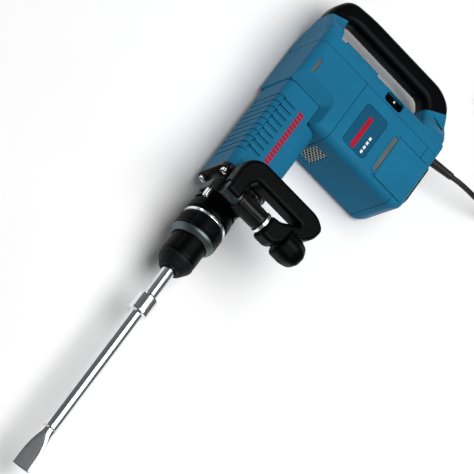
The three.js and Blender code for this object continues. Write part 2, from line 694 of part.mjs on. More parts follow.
function cordTube(points, steps) {
  const path = new THREE.CatmullRomCurve3(points.map((point) => new THREE.Vector3(...point)));
  const sides = 8;
  const section = polygon(Array.from({ length: sides }, (_, i) => {
    const angle = 2 * Math.PI * (i + 0.5) / sides;
    return [CORD_R * Math.cos(angle), CORD_R * Math.sin(angle)];
  }));
  return solid(new THREE.ExtrudeGeometry(section, { extrudePath: path, steps }));
}

function coilAndPlug() {
  const half = COIL_COLUMNS * COIL_PITCH / 2;
  const height = COIL_ROWS * COIL_PITCH;
  const profile = ring(COIL_FLOOR, COIL_FLOOR + height, COIL_MEAN_R - half, COIL_MEAN_R + half);
  add('cord_coil', turnedZ(profile, COIL_CENTRE.x, COIL_CENTRE.y, 32), RUBBER);
  const clear = half + 0.7;
  const thick = half + 1.8;
  const tieSide = TIE_WIDTH / 2;
  const top = COIL_FLOOR + height + 0.3;
  const tie = box(COIL_MEAN_R - thick, COIL_MEAN_R + thick, -tieSide, tieSide, 0.1, top + 1.1)
    .subtract(box(COIL_MEAN_R - clear, COIL_MEAN_R + clear, -BIG, BIG, COIL_FLOOR - 0.1, top));
  const turn = new THREE.Matrix4().makeRotationZ(TIE_ANGLE);
  const centre = [COIL_CENTRE.x, COIL_CENTRE.y, 0];
  add('coil_tie', solid(geometryOf(tie).applyMatrix4(turn)).translate(centre), BLACK);
  const body = turnedY([
    [282, 0], [282, 18.5], [290, 18.5], [296, 15], [318, 12], [324, 9], [341, 6.5], [341, 0],
  ], -280, 19, 24);
  let plug = body;
  [-9.5, 9.5].forEach((side) => {
    plug = plug.add(turnedY(rod(263, 283, 2.4), -280, 19 + side, 12));
  });
  add('mains_plug', plug, RUBBER);
}

function powerCord() {
  cableBoot();
  add('power_cord', cordTube(CORD_ROUTE, 40), RUBBER);
  coilAndPlug();
  add('cord_tail', cordTube(TAIL_ROUTE, 14), RUBBER);
}

gearHousing();
motorHousing();
bottomCap();
coversAndPlate();
bottomBumper();
rearHousing();
rearGrip();
controls();
barrelHousing();
frontFlange();
flangeScrews();
handleClamp();
auxiliaryHandle();
toolHolder();
sleeves();
lockSpring();
flatChisel();
hammerMechanism();
crankDrive();
motor();
electrics();
powerCord();

export default hammer;
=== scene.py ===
"""Looks of a demolition hammer with a flat chisel, lying on its right side on a pale floor.

Every number is in millimetres, in the frame that the CAD source measures in: +X along the
striking axis, +Y towards the motor's foot, +Z up. piece() moves the finished mesh into the
row frame, where the crank is at X = 0 and lengths are in metres.
"""

import math

import bmesh
import bpy
from mathutils import Matrix, Vector


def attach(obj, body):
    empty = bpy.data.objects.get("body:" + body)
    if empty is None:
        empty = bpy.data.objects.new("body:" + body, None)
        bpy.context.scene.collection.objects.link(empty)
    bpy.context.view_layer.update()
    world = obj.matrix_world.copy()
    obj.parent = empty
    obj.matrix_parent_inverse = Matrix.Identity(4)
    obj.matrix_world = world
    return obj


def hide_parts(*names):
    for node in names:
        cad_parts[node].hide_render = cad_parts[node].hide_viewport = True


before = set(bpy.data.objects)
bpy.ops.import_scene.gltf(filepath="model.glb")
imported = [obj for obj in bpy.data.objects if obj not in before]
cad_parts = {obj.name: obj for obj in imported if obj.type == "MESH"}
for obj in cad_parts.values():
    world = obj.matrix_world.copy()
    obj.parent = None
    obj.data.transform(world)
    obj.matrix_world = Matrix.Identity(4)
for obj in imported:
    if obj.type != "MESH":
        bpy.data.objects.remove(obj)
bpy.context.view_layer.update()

# ---------------- sizes shared with the CAD

CRANK_X = -40
AXIS_Z = 60
HALF_WIDTH = 60
TOP_Z = 2 * HALF_WIDTH
GAP = 0.3
WALL = 4
EDGE = 16
FAR = 500  # beyond the housings and the barrel on every side

GRIP_HALF = 19
REAR_FACE_X = -106
REAR_SEAM_X = -76
UPPER_FRONT_X = 7
MOTOR_FRONT_X = 46
TOP_Y = -45
STEP_Y = 22
SIDE_SEAM_Y = 57
CAP_SEAM_Y = 199
BOTTOM_Y = 224
FOOT_CHAMFER = 14

BARREL_END_X = 189
BARREL_HALF = 45
BARREL_TOP_Y = -43
BARREL_LOW_Y = 51
BARREL_TOP_FILLET = 15
BARREL_LOW_FILLET = 34
FLANGE_END_X = 197
NECK_END_X = 245
NECK_R = 29
HOLDER_R = 22

HANDLE_Z = AXIS_Z + 75
SHAFT_X = 243
SHAFT_R = 13
SHAFT_CENTRE = (HANDLE_Z, SHAFT_X)
CLAMP_REAR_X = 228
CLAMP_FRONT_X = 244
HUB_END_Y = 44
KNOB_SEAT_Y = 88

CHISEL_R = 11
SHANK_R = 9
SHAFT_END_X = 700
BLADE_X = 706  # where the shaft starts to flatten
BLADE_HALF = 13.9
TIP_HALF = 1.2
CHISEL_TIP_X = 776
BLADE_ROLL = math.radians(20)

CORD_R = 4.5
CORD_EXIT = Vector((-98, BOTTOM_Y + GAP, AXIS_Z))
CORD_TILT = 0.17
BOOT_LENGTH = 58
COIL_CENTRE = Vector((-210, 425, 0))
COIL_MEAN_R = 49.5
COIL_PITCH = 9.2
COIL_ROWS = 4
COIL_COLUMNS = 3
COIL_FLOOR = 1.3

TO_ROW = Matrix.Scale(0.001, 4) @ Matrix.Translation((-CRANK_X, 0, 0))


def row_point(point):
    """A point in the row frame, in metres, from tool millimetres."""
    return TO_ROW @ Vector(point)


def eased(t):
    """t from 0 to 1, slow at both ends."""
    return t * t * (3 - 2 * t)


# ---------------- outlines

def bend(start, corner, end, steps):
    """Points along a smooth bend that replaces a corner."""
    shares = [k / steps for k in range(steps + 1)]
    return [tuple(start * (1 - t) ** 2 + corner * (2 * t * (1 - t)) + end * t ** 2) for t in shares]


def directions(corners, i):
    """Corner i of an outline, with the directions of the edges that enter and leave it."""
    corner = Vector(corners[i][:2])
    into = (corner - Vector(corners[i - 1][:2])).normalized()
    out = (Vector(corners[(i + 1) % len(corners)][:2]) - corner).normalized()
    return corner, into, out


def rounded(corners, steps=8):
    """Outline whose corners (a, b, length) are rounded off over a length; 0 stays sharp."""
    points = []
    for i, (a, b, length) in enumerate(corners):
        if length == 0:
            points.append((a, b))
            continue
        corner, into, out = directions(corners, i)
        points += bend(corner - into * length, corner, corner + out * length, steps)
    return points


def rounded_rect(a0, a1, b0, b1, radius):
    """A rectangle outline with four equal round corners."""
    corners = [(a0, b0, radius), (a1, b0, radius), (a1, b1, radius), (a0, b1, radius)]
    return rounded(corners, 6)


def soft_profile(profile, radius, steps=4):
    """A turned profile of (distance along the axis, radius) with its corners rounded."""
    count = len(profile)
    corners = []
    for i, (at, r) in enumerate(profile):
        before = profile[i - 1]
        after = profile[(i + 1) % count]
        reach = min(math.dist((at, r), before), math.dist((at, r), after)) * 0.45
        corners.append((at, r, 0 if r == 0 else min(radius, reach)))
    return rounded(corners, steps)


def superellipse(half_a, half_b, power, sides):
    """Points round an oval; a power of 2 is an ellipse, and a larger one is squarer."""
    points = []
    for k in range(sides):
        angle = 2 * math.pi * k / sides
        c, s = math.cos(angle), math.sin(angle)
        a = half_a * math.copysign(abs(c) ** (2 / power), c)
        b = half_b * math.copysign(abs(s) ** (2 / power), s)
        points.append((a, b))
    return points


def round_spots(count, radius, centre):
    """Evenly spaced points on a circle."""
    angles = [2 * math.pi * i / count for i in range(count)]
    return [(centre[0] + radius * math.cos(angle), centre[1] + radius * math.sin(angle)) for angle in angles]


# ---------------- solids in bmesh

SHARP_ANGLE = 0.6  # radians between two faces, above which an edge counts as sharp
FINE_EDGE_ANGLE = math.radians(32)

PLACES = {
    "x": lambda a, b, along: (along, a, b),
    "y": lambda a, b, along: (b, along, a),
    "z": lambda a, b, along: (a, b, along),
}


def closed(bm):
    bmesh.ops.recalc_face_normals(bm, faces=bm.faces)
    return bm


def loft(*sections):
    """A solid through rings of equally many points, with both ends closed."""
    bm = bmesh.new()
    rings = [[bm.verts.new(point) for point in section] for section in sections]
    bm.faces.new(rings[0])
    bm.faces.new(rings[-1])
    for one, two in zip(rings, rings[1:]):
        for k in range(len(one)):
            bm.faces.new((one[k - 1], one[k], two[k], two[k - 1]))
    return closed(bm)


def prism(outline, low, high, axis="z"):
    """An outline in (Y, Z), (Z, X) or (X, Y) run along X, Y or Z from low to high."""
    place = PLACES[axis]
    return loft(*[[place(a, b, along) for a, b in outline] for along in (low, high)])


def block(x0=-FAR, x1=FAR, y0=-FAR, y1=FAR, z0=-FAR, z1=FAR):
    """A box; a side that isn't given lies far beyond the housings."""
    return prism([(x0, y0), (x1, y0), (x1, y1), (x0, y1)], z0, z1)


def turned(profile, axis="x", centre=(0, AXIS_Z), segments=72, lobes=0, lobe_depth=0.0):
    """A profile of (distance along the axis, radius) turned about the line through centre."""
    bm = bmesh.new()
    place = PLACES[axis]
    rings = []
    for at, radius in profile:
        if radius <= 1e-6:
            rings.append([bm.verts.new(place(centre[0], centre[1], at))])
            continue
        verts = []
        for k in range(segments):
            angle = 2 * math.pi * k / segments
            r = radius - lobe_depth * (0.5 - 0.5 * math.cos(lobes * angle)) * min(1, radius / 15)
            a = centre[0] + r * math.cos(angle)
            b = centre[1] + r * math.sin(angle)
            verts.append(bm.verts.new(place(a, b, at)))
        rings.append(verts)
    for i in range(len(rings)):
        one, two = rings[i - 1], rings[i]
        if len(one) == 1 and len(two) == 1:
            continue
        for k in range(segments):
            quad = [one[k % len(one)], one[(k + 1) % segments % len(one)],
                    two[(k + 1) % segments % len(two)], two[k % len(two)]]
            face = list(dict.fromkeys(quad))
            if len(face) > 2:
                bm.faces.new(face)
    return closed(bm)


def rod(start, end, radius):
    return [(start, 0), (start, radius), (end, radius), (end, 0)]


def ring(start, end, inner, outer):
    return [(start, inner), (start, outer), (end, outer), (end, inner)]


def placed(name, data):
    """An object with this data, linked into the scene."""
    result = bpy.data.objects.new(name, data)
    bpy.context.scene.collection.objects.link(result)
    return result


def mesh_of(name, bm):
    """A mesh made from a bmesh, which is freed."""
    mesh = bpy.data.meshes.new(name)
    bm.to_mesh(mesh)
    bm.free()
    return mesh


def joined(*parts):
    """Several separate solids in one bmesh."""
    result = bmesh.new()
    for part in parts:
        mesh = mesh_of("part", part)
        result.from_mesh(mesh)
        bpy.data.meshes.remove(mesh)
    return result


def evaluated(helper, *others):
    """The helper's mesh with its modifiers done, as a bmesh; all the helpers are removed."""
    bpy.context.view_layer.update()
    graph = bpy.context.evaluated_depsgraph_get()
    mesh = bpy.data.meshes.new_from_object(helper.evaluated_get(graph))
    result = bmesh.new()
    result.from_mesh(mesh)
    bpy.data.meshes.remove(mesh)
    for o in (helper, *others):
        old = o.data
        bpy.data.objects.remove(o)
        bpy.data.meshes.remove(old)
    return result


def combined(base, operation, *tools):
    """base with each tool cut from it (DIFFERENCE), added (UNION), or only what they share."""
    target = placed("base", mesh_of("base", base))
    helpers = [placed("tool", mesh_of("tool", tool)) for tool in tools]
    for helper in helpers:
        modifier = target.modifiers.new("cut", "BOOLEAN")
        modifier.operation = operation
        modifier.solver = "EXACT"
        modifier.object = helper
    return evaluated(target, *helpers)


def cut(base, *tools):
    return combined(base, "DIFFERENCE", *tools)


def kept(base, *tools):
    return combined(base, "INTERSECT", *tools)


def added(base, *tools):
    return combined(base, "UNION", *tools)


def slab(corners, low, high, edge, axis="z", steps=6):
    """A rounded outline run from low to high, with its two rims rounded by edge.

    A corner too tight for the rim's rounding stays sharp in the outline, and its upright edge
    is rounded together with the rims instead.
    """
    pairs = [(corners[i - 1], corners[i]) for i in range(len(corners))]
    winding = math.copysign(1, sum(a[0] * b[1] - b[0] * a[1] for a, b in pairs))
    outline = []
    upright = []
    for i, (a, b, length) in enumerate(corners):
        corner, into, out = directions(corners, i)
        turn = math.atan2(into.x * out.y - into.y * out.x, into.dot(out)) * winding
        radius = length / max(1e-6, math.tan(abs(turn) / 2))
        if length and (turn < 0 or radius > 1.1 * edge):
            outline += bend(corner - into * length, corner, corner + out * length, steps)
            upright += [0] * (steps + 1)
        else:
            outline.append((a, b))
            upright.append(min(1, length / edge))
    bm = prism(outline, low, high, axis)
    weight = bm.edges.layers.float.new("bevel_weight_edge")
    bm.verts.index_update()
    for e in bm.edges:
        first, second = sorted(v.index for v in e.verts)
        e[weight] = upright[first] if second - first == len(outline) else 1
    helper = placed("slab", mesh_of("slab", bm))
    modifier = helper.modifiers.new("rim", "BEVEL")
    modifier.limit_method = "WEIGHT"
    modifier.width = edge
    modifier.segments = steps
    modifier.use_clamp_overlap = False
    return evaluated(helper)


def eased_edges(bm, chosen, width):
    """Rounds the sharp edges whose middle point passes the test."""
    edges = []
    for e in bm.edges:
        if len(e.link_faces) == 2 and e.calc_face_angle(0) > SHARP_ANGLE:
            if chosen((e.verts[0].co + e.verts[1].co) / 2):
                edges.append(e)
    bmesh.ops.bevel(bm, geom=edges, offset=width, offset_type="OFFSET", segments=2,
                    profile=0.5, affect="EDGES", clamp_overlap=False)
    return bm


def piece(name, bm, material, body="root", stands_for=(), edge=0, smooth=True):
    """The finished object: in the row frame, riding on its body, with fine edges rounded."""
    bmesh.ops.remove_doubles(bm, verts=bm.verts, dist=1e-4)
    mesh = mesh_of(name, bm)
    mesh.transform(TO_ROW)
    for polygon in mesh.polygons:
        polygon.use_smooth = smooth
    mesh.materials.append(material)
    result = placed(name, mesh)
    if edge:
        fine = result.modifiers.new("fine edge", "BEVEL")
        fine.width = edge * 0.001
        fine.segments = 2
        fine.limit_method = "ANGLE"
        fine.angle_limit = FINE_EDGE_ANGLE
        fine.use_clamp_overlap = False
    normals = result.modifiers.new("normals", "WEIGHTED_NORMAL")
    normals.keep_sharp = True
    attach(result, body)
    if stands_for:
        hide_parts(*stands_for)
    return result


# ---------------- materials

def shader(name):
    material = bpy.data.materials.new(name)
    material.use_nodes = True
    tree = material.node_tree
    return material, tree, tree.nodes["Principled BSDF"]


def connect(tree, principled, colour, rough, normal):
    tree.links.new(colour, principled.inputs["Base Color"])
    tree.links.new(rough, principled.inputs["Roughness"])
    tree.links.new(normal, principled.inputs["Normal"])


def set_inputs(node, **values):
    """Sets inputs of a node; an underscore stands for a space in an input's name."""
    for name, value in values.items():
        node.inputs[name.replace("_", " ")].default_value = value


def new_node(tree, kind, **values):
    """A new node with some of its inputs set."""
    result = tree.nodes.new(kind)
    set_inputs(result, **values)
    return result


def noise(tree, scale, detail=4.0, stretch=(1, 1, 1), roughness=0.55):
    """Noise in the piece's own space; scale is in features per metre."""
    place = new_node(tree, "ShaderNodeTexCoord")
    mapping = new_node(tree, "ShaderNodeMapping", Scale=stretch)
    texture = new_node(tree, "ShaderNodeTexNoise", Scale=scale, Detail=detail, Roughness=roughness)
    tree.links.new(place.outputs["Object"], mapping.inputs["Vector"])
    tree.links.new(mapping.outputs["Vector"], texture.inputs["Vector"])
    return texture.outputs["Fac"]


def cells(tree, scale):
    place = new_node(tree, "ShaderNodeTexCoord")
    texture = new_node(tree, "ShaderNodeTexVoronoi", Scale=scale)
    tree.links.new(place.outputs["Object"], texture.inputs["Vector"])
    return texture.outputs["Distance"]


def colours(tree, value, *stops):
    """A colour ramp with stops of (position, colour)."""
    ramp = new_node(tree, "ShaderNodeValToRGB")
    elements = ramp.color_ramp.elements
    while len(elements) < len(stops):
        elements.new(0.5)
    for element, (position, colour) in zip(elements, stops):
        element.position = position
        element.color = (*colour, 1)
    tree.links.new(value, ramp.inputs["Fac"])
    return ramp.outputs["Color"]


def span(tree, value, low, high):
    node = new_node(tree, "ShaderNodeMapRange", To_Min=low, To_Max=high)
    tree.links.new(value, node.inputs["Value"])
    return node.outputs["Result"]


def bumps(tree, *layers):
    """Bump layers of (height, strength, depth in metres), one on top of another."""
    normal = None
    for height, strength, depth in layers:
        bump = new_node(tree, "ShaderNodeBump", Strength=strength, Distance=depth)
        tree.links.new(height, bump.inputs["Height"])
        if normal is not None:
            tree.links.new(normal, bump.inputs["Normal"])
        normal = bump.outputs["Normal"]
    return normal


def tinted(colour, factor):
    return tuple(min(1.0, c * factor) for c in colour)


def tones(tree, value, colour, contrast):
    """The colour, a little darker and a little lighter with the value."""
    dark, light = tinted(colour, 1 - contrast), tinted(colour, 1 + contrast)
    return colours(tree, value, (0.3, dark), (0.7, light))


def moulded(name, colour, rough, grain=1400, depth=0.00012, shine=0.5, contrast=0.16):
    """Moulded plastic: fine eroded grain, slightly uneven colour, faint handling scuffs."""
    material, tree, principled = shader(name)
    broad = noise(tree, 14, 5)
    fine = noise(tree, grain, 3)
    scuff = noise(tree, 90, 8, (1, 6, 1), 0.7)
    connect(tree, principled, tones(tree, broad, colour, contrast),
            span(tree, scuff, rough - 0.09, rough + 0.11),
            bumps(tree, (scuff, 0.08, depth * 2), (fine, 0.35, depth)))
    set_inputs(principled, Specular_IOR_Level=shine)
    return material


def textured_rubber(name, colour, rough, pitch):
    """Soft rubber: a leathery pattern of small cells, with painted shade darkening their valleys."""
    material, tree, principled = shader(name)
    grain = cells(tree, pitch)
    fine = noise(tree, 2600, 2)
    # painted shade: the colour darkens where the cell bump sinks
    pit_shaded_skin = colours(tree, grain, (0.05, tinted(colour, 0.75)), (0.6, tinted(colour, 1.25)))
    connect(tree, principled, pit_shaded_skin, span(tree, fine, rough - 0.08, rough + 0.08),
            bumps(tree, (grain, 0.5, 0.0002), (fine, 0.2, 0.00008)))
    set_inputs(principled, Specular_IOR_Level=0.12)
    return material


def metal(name, colour, rough, stretch=(1, 1, 1), scale=900, depth=0.00004, spread=0.08):
    """Machined or polished metal, slightly stained, with marks drawn out along the stretch."""
    material, tree, principled = shader(name)
    marks = noise(tree, scale, 6, stretch, 0.65)
    stains = noise(tree, 22, 5)
    connect(tree, principled, tones(tree, stains, colour, 0.12),
            span(tree, marks, max(0.03, rough - spread), rough + spread),
            bumps(tree, (marks, 0.25, depth)))
    set_inputs(principled, Metallic=1)
    return material


def cast_metal(name, colour, rough, metallic=0.75):
    """Painted or blackened casting with a coarse sand grain and rubbed high spots."""
    material, tree, principled = shader(name)
    coarse = noise(tree, 520, 5, (1, 1, 1), 0.6)
    rubbed = noise(tree, 75, 8, (1, 1, 1), 0.75)
    worn = [(at, tinted(colour, factor)) for at, factor in ((0.45, 0.8), (0.62, 1.5), (0.8, 4.0))]
    connect(tree, principled, colours(tree, rubbed, *worn), span(tree, rubbed, rough + 0.12, rough - 0.12),
            bumps(tree, (coarse, 0.45, 0.00035)))
    set_inputs(principled, Metallic=metallic)
    return material


blue = moulded("blue_plastic", (0.0115, 0.142, 0.262), 0.36, shine=0.03, contrast=0.08)
plate_blue = moulded("plate_blue", (0.006, 0.078, 0.150), 0.42, shine=0.05, contrast=0.08)
black = moulded("black_plastic", (0.0011, 0.0014, 0.0016), 0.32, shine=0.05, contrast=0.3)
pad_rubber = textured_rubber("pad_rubber", (0.007, 0.008, 0.008), 0.7, 600)
cap_rubber = textured_rubber("cap_rubber", (0.0035, 0.0045, 0.0048), 0.5, 500)
cord_rubber = moulded("cord_rubber", (0.006, 0.006, 0.006), 0.5, 3000, 0.00005, 0.4, 0.3)
red_paint = moulded("red_paint", (0.37, 0.004, 0.022), 0.35, 2000, 0.00004, 0.1, 0.08)
white_paint = moulded("white_paint", (0.75, 0.77, 0.78), 0.4, 2000, 0.00004, 0.5, 0.05)
polished = metal("polished_steel", (0.74, 0.77, 0.78), 0.14, (0.6, 14, 14), 26, 0.000012, 0.05)
bright_ring = metal("bright_ring", (0.86, 0.88, 0.90), 0.24, (40, 1, 1), 60)
satin_band = metal("satin_band", (0.115, 0.140, 0.150), 0.42, (60, 1, 1), 60)
dark_steel = metal("dark_steel", (0.035, 0.037, 0.040), 0.34, (1, 20, 20), 60)
cast_black = cast_metal("cast_black", (0.0075, 0.0080, 0.0085), 0.36)
hub_grey = cast_metal("hub_grey", (0.030, 0.042, 0.042), 0.42, 0.6)
grey_mesh = metal("grey_mesh", (0.30, 0.33, 0.33), 0.5)
dust_grey = moulded("dust_grey", (0.085, 0.100, 0.098), 0.7, 900, 0.0002, 0.3, 0.35)
copper = metal("copper_winding", (0.55, 0.22, 0.11), 0.35, (40, 1, 40), 60)
brass = metal("brass", (0.55, 0.40, 0.16), 0.3)
carbon = cast_metal("carbon", (0.012, 0.012, 0.013), 0.5, 0.2)
resin = moulded("circuit_resin", (0.35, 0.33, 0.27), 0.5)
lens_clear = moulded("lens", (0.50, 0.42, 0.30), 0.15, 2500, 0.00002, 0.6, 0.1)
light_alloy = cast_metal("light_alloy", (0.22, 0.23, 0.24), 0.42, 0.9)

# The materials of each slot; its first one is also the look of the slot's CAD nodes.
LOOKS = {
    "housing_blue": [blue],
    "black_plastic": [black, plate_blue, red_paint, white_paint, satin_band, dust_grey],
    "rubber": [pad_rubber, cap_rubber, cord_rubber],
    "bright_steel": [polished, bright_ring, grey_mesh],
    "dark_steel": [dark_steel, hub_grey],
    "black_cast": [cast_black],
    "light_alloy": [light_alloy],
    "copper": [copper],
    "brass": [brass],
    "carbon": [carbon],
    "lens": [lens_clear],
    "circuit_resin": [resin],
}


def dress_cad_nodes():
    """Every CAD node gets the procedural material of its slot."""
    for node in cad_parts.values():
        for place in node.material_slots:
            if place.material:
                slot = place.material.name.split(".")[0]
                place.material = LOOKS.get(slot, [dark_steel])[0]


# ---------------- blue housings

SEAM = 0.9  # half the width of the groove at a seam
COVER = (-52, 33, 150, 216)  # (x0, x1, y0, y1) of the service cover
COVER_DEPTH = 2
PLATE = (-54, 28, 76, 124)
MESH_SEAT = (61, 88, AXIS_Z - 30, AXIS_Z + 22)  # (y0, y1, z0, z1) in the front face
MESH_PITCH = 8.6
MESH_WIRE = 1.3  # half the width of a wire, measured along Z

SLOPE_X = -16  # where the slopes down to the barrel start on the side faces
SLOPE_Y = 34
SLOPE_Z = AXIS_Z + BARREL_HALF  # height of their lower ends


def slopes(inset):
    """Cutters that slope both side faces down to the barrel, round an inner corner."""
    beyond = MOTOR_FRONT_X + 44
    x, y = UPPER_FRONT_X - inset + 0.2, STEP_Y + inset - 0.2
    low = rounded([(x, -90, 0), (beyond, -90, 0), (beyond, y, 0), (x, y, 5)])
    x, y = SLOPE_X - inset, SLOPE_Y + inset
    high = rounded([(x, -90, 0), (beyond, -90, 0), (beyond, y, 0), (x, y, 16)])
    sides = []
    for low_z, high_z in ((SLOPE_Z - inset, TOP_Z + 0.5 - inset), (TOP_Z - SLOPE_Z + inset, inset - 0.5)):
        sides.append(loft([(a, b, low_z) for a, b in low], [(a, b, high_z) for a, b in high]))
    return joined(*sides)


def housing_form(inset):
    """The outer form of the gear, motor, foot and rear housings together."""
    rear, front = REAR_FACE_X + inset, MOTOR_FRONT_X - inset
    upper, top = UPPER_FRONT_X - inset, TOP_Y + inset
    step, bottom = STEP_Y + inset, BOTTOM_Y - inset
    corners = [
        (rear, top, 6), (upper, top, 3), (upper, step, 0), (front, step, 7),
        (front, BOTTOM_Y - FOOT_CHAMFER, 5), (front - FOOT_CHAMFER, bottom, 5), (rear, bottom, 5),
    ]
    return cut(slab(corners, inset, TOP_Z - inset, EDGE - inset / 2, steps=8), slopes(inset))


def housing_slice(x0=-FAR, x1=FAR, y0=-FAR, y1=FAR):
    """The part of the 4 mm shell inside a box, with its seam edges eased."""
    shell = cut(housing_form(0), housing_form(WALL))
    part = kept(shell, block(x0, x1, y0, y1))
    planes = [(0, x0), (0, x1), (1, y0), (1, y1)]
    return eased_edges(part, lambda m: any(abs(m[axis] - at) < 0.01 for axis, at in planes), SEAM)


def both_sides(x0, x1, y0, y1, depth):
    """A pocket in the left and in the right face."""
    return joined(block(x0, x1, y0, y1, TOP_Z - depth, TOP_Z + 9), block(x0, x1, y0, y1, -9, depth))


def gear_shell():
    """The housing of the crank, with a small slanted slot in its left face."""
    body = housing_slice(REAR_SEAM_X + GAP, y1=SIDE_SEAM_Y - GAP)
    hole = turned(rod(UPPER_FRONT_X - 12, UPPER_FRONT_X + 1, 21))
    corners = [(-46, -30, 1.5), (-18, -30, 1.5), (-20, -23, 1.5), (-47, -23, 1.5)]
    slot = prism(rounded(corners), TOP_Z - 1.6, TOP_Z + 5)
    piece("gear_shell", cut(body, hole, slot), blue, stands_for=["gear_housing"], edge=0.35)
    floor = prism([(-45, -29.5), (-19, -29.5), (-20.5, -23.5), (-46, -23.5)], TOP_Z - 1.9, TOP_Z - 0.9)
    piece("side_slot_floor", floor, dust_grey, smooth=False)


def motor_shell():
    """The housing of the motor, with seats for the plate, the covers and the mesh."""
    body = housing_slice(REAR_SEAM_X + GAP, y0=SIDE_SEAM_Y, y1=CAP_SEAM_Y - GAP)
    x0, x1, y0, y1 = PLATE
    plate_seat = rounded([(x0, y0, 7), (x1, y0, 7), (x1, y1, 9), (x0, y1, 9)])
    x0, x1, y0, y1 = COVER
    cover = both_sides(x0, x1, y0, FAR, COVER_DEPTH)
    slot = rounded_rect(x0 + 3, x1 - 5, y0 - 7, y0 + 4, 2.5)
    slots = joined(*[prism(slot, low, low + 8.4) for low in (TOP_Z - 3.4, -5)])
    groove = both_sides(x1 - 1, x1 + 5, y0 - 2, FAR, COVER_DEPTH + 1)
    y0, y1, z0, z1 = MESH_SEAT
    mesh_seat = block(MOTOR_FRONT_X - 1.5, MOTOR_FRONT_X + 5, y0, y1, z0, z1)
    body = cut(body, prism(plate_seat, TOP_Z - 1.4, TOP_Z + 5), cover, slots, groove, mesh_seat)
    piece("motor_shell", body, blue, stands_for=["motor_housing"], edge=0.35)


def cap_shell():
    """The cap under the motor, where the covers' seats run out."""
    body = housing_slice(REAR_SEAM_X + GAP, y0=CAP_SEAM_Y)
    x0, x1, y0, y1 = COVER
    groove = both_sides(x1 - 1, x1 + 5, -FAR, y1 + 2, COVER_DEPTH + 1)
    body = cut(body, both_sides(x0, x1, -FAR, y1, COVER_DEPTH), groove)
    piece("cap_shell", body, blue, stands_for=["bottom_cap"], edge=0.35)


def covers():
    """Both service covers, and the finger slot above the left one."""
    x0, x1, y0, y1 = COVER
    left, right, top, bottom = x0 + 0.8, x1 - 1.2, y0 + 4, y1 - 0.5
    panel = [(left, top, 1.5), (right, top, 4), (right, bottom, 4), (left, bottom, 1.5)]
    for name, low, high, cad in (("left_cover_panel", TOP_Z - 1.7, TOP_Z, "left_service_cover"),
                                 ("right_cover_panel", 0, 1.7, "right_service_cover")):
        piece(name, slab(panel, low, high, 0.8), blue, stands_for=[cad])
    floor = block(x0 + 4.5, x1 - 6.5, y0 - 6.2, y0 + 3.2, TOP_Z - 3.2, TOP_Z - 1.6)
    piece("cover_slot_floor", floor, dust_grey, smooth=False)
    rim = cut(prism(rounded_rect(x0 + 2.2, x1 - 4.2, y0 - 8.5, y0 + 5.2, 4.5), TOP_Z - 2.4, TOP_Z + 0.8),
              prism(rounded_rect(x0 + 5.5, x1 - 7.5, y0 - 5.5, y0 + 2.5, 2.5), TOP_Z - 9, TOP_Z + 9))
    piece("cover_slot_rim", rim, blue, edge=0.7)


def plate():
    """The plain plate with its bar and dashes, which stay under the housing's face."""
    x0, x1, y0, y1 = PLATE
    left, right, top, bottom = x0 + 0.6, x1 - 0.6, y0 + 0.6, y1 - 0.6
    corners = [(left, top, 6), (right, top, 6), (right, bottom, 8), (left, bottom, 8)]
    piece("plain_plate", slab(corners, TOP_Z - 1.2, TOP_Z - 0.3, 0.5), plate_blue, stands_for=["name_plate"])
    low, high = TOP_Z - 0.35, TOP_Z - 0.1
    bar = rounded_rect(x0 + 16, x1 - 3, 92, 100, 1.2)
    piece("plate_red_bar", prism(bar, low, high), red_paint)
    starts = [x1 - 40 + 9 * i for i in range(4)]
    dashes = [prism(rounded_rect(start, start + 6, 112, 116, 1), low, high) for start in starts]
    piece("plate_white_dashes", joined(*dashes), white_paint)


def grille():
    """Diagonal wire mesh in the seat on the front face, over a black sheet of painted shade."""
    y0, y1, z0, z1 = (side + play for side, play in zip(MESH_SEAT, (0.5, -0.5, 0.5, -0.5)))
    window = block(MOTOR_FRONT_X - 2, MOTOR_FRONT_X + 1, y0, y1, z0, z1)
    # a black sheet under the wires: painted shade standing for the dark vent behind them
    piece("vent_shade_sheet", block(MOTOR_FRONT_X - 1.9, MOTOR_FRONT_X - 1.5, y0, y1, z0, z1), black)
    layers = []
    for slope, x in ((1, MOTOR_FRONT_X - 1.0), (-1, MOTOR_FRONT_X - 0.6)):
        reach = (y1 - y0) * slope
        y = y0 if slope > 0 else y1
        wires = []
        for i in range(-6, 12):
            z = z0 + i * MESH_PITCH
            outline = [(y, z - MESH_WIRE), (y + reach, z + abs(reach) - MESH_WIRE),
                       (y + reach, z + abs(reach) + MESH_WIRE), (y, z + MESH_WIRE)]
            wires.append(prism(outline, x, x + 0.5, "x"))
        layers.append(kept(joined(*wires), window.copy()))
    window.free()
    piece("front_mesh", joined(*layers), grey_mesh)


def bumper():
    """The rubber pad under the foot, with grooves across its sole."""
    corners = [(24, -70, 12), (96, -70, 12), (96, 12, 12), (24, 12, 12)]
    body = slab(corners, BOTTOM_Y + GAP, BOTTOM_Y + 7, 2.4, "y")
    starts = [-66 + 9 * i for i in range(9)]
    grooves = [block(x, x + 2, BOTTOM_Y + 5.6, BOTTOM_Y + 12, 30, 90) for x in starts]
    piece("foot_pad", cut(body, joined(*grooves)), pad_rubber, stands_for=["bottom_bumper"], edge=0.4)


# ---------------- rear housing, handle and controls

ARM_ROOT_X = REAR_FACE_X + 20
ARM_ROOT_HALF = 52
ARM_TIP_HALF = 22.5
DIAL_Y = 110
DIAL_Z = AXIS_Z + 44.5
DIAL_R = 15
LOOP_CORNERS = [
    (ARM_ROOT_X, TOP_Y, 0), (-158, -49, 16), (-195, -30, 18), (-201, 20, 18), (-201, 178, 15),
    (-186, 206, 15), (-140, BOTTOM_Y, 16), (ARM_ROOT_X, BOTTOM_Y, 0), (ARM_ROOT_X, 168, 0), (-150, 171, 6),
    (-163, 160, 6), (-163, 0, 6), (-156, -15, 6), (ARM_ROOT_X, -14, 0),
]


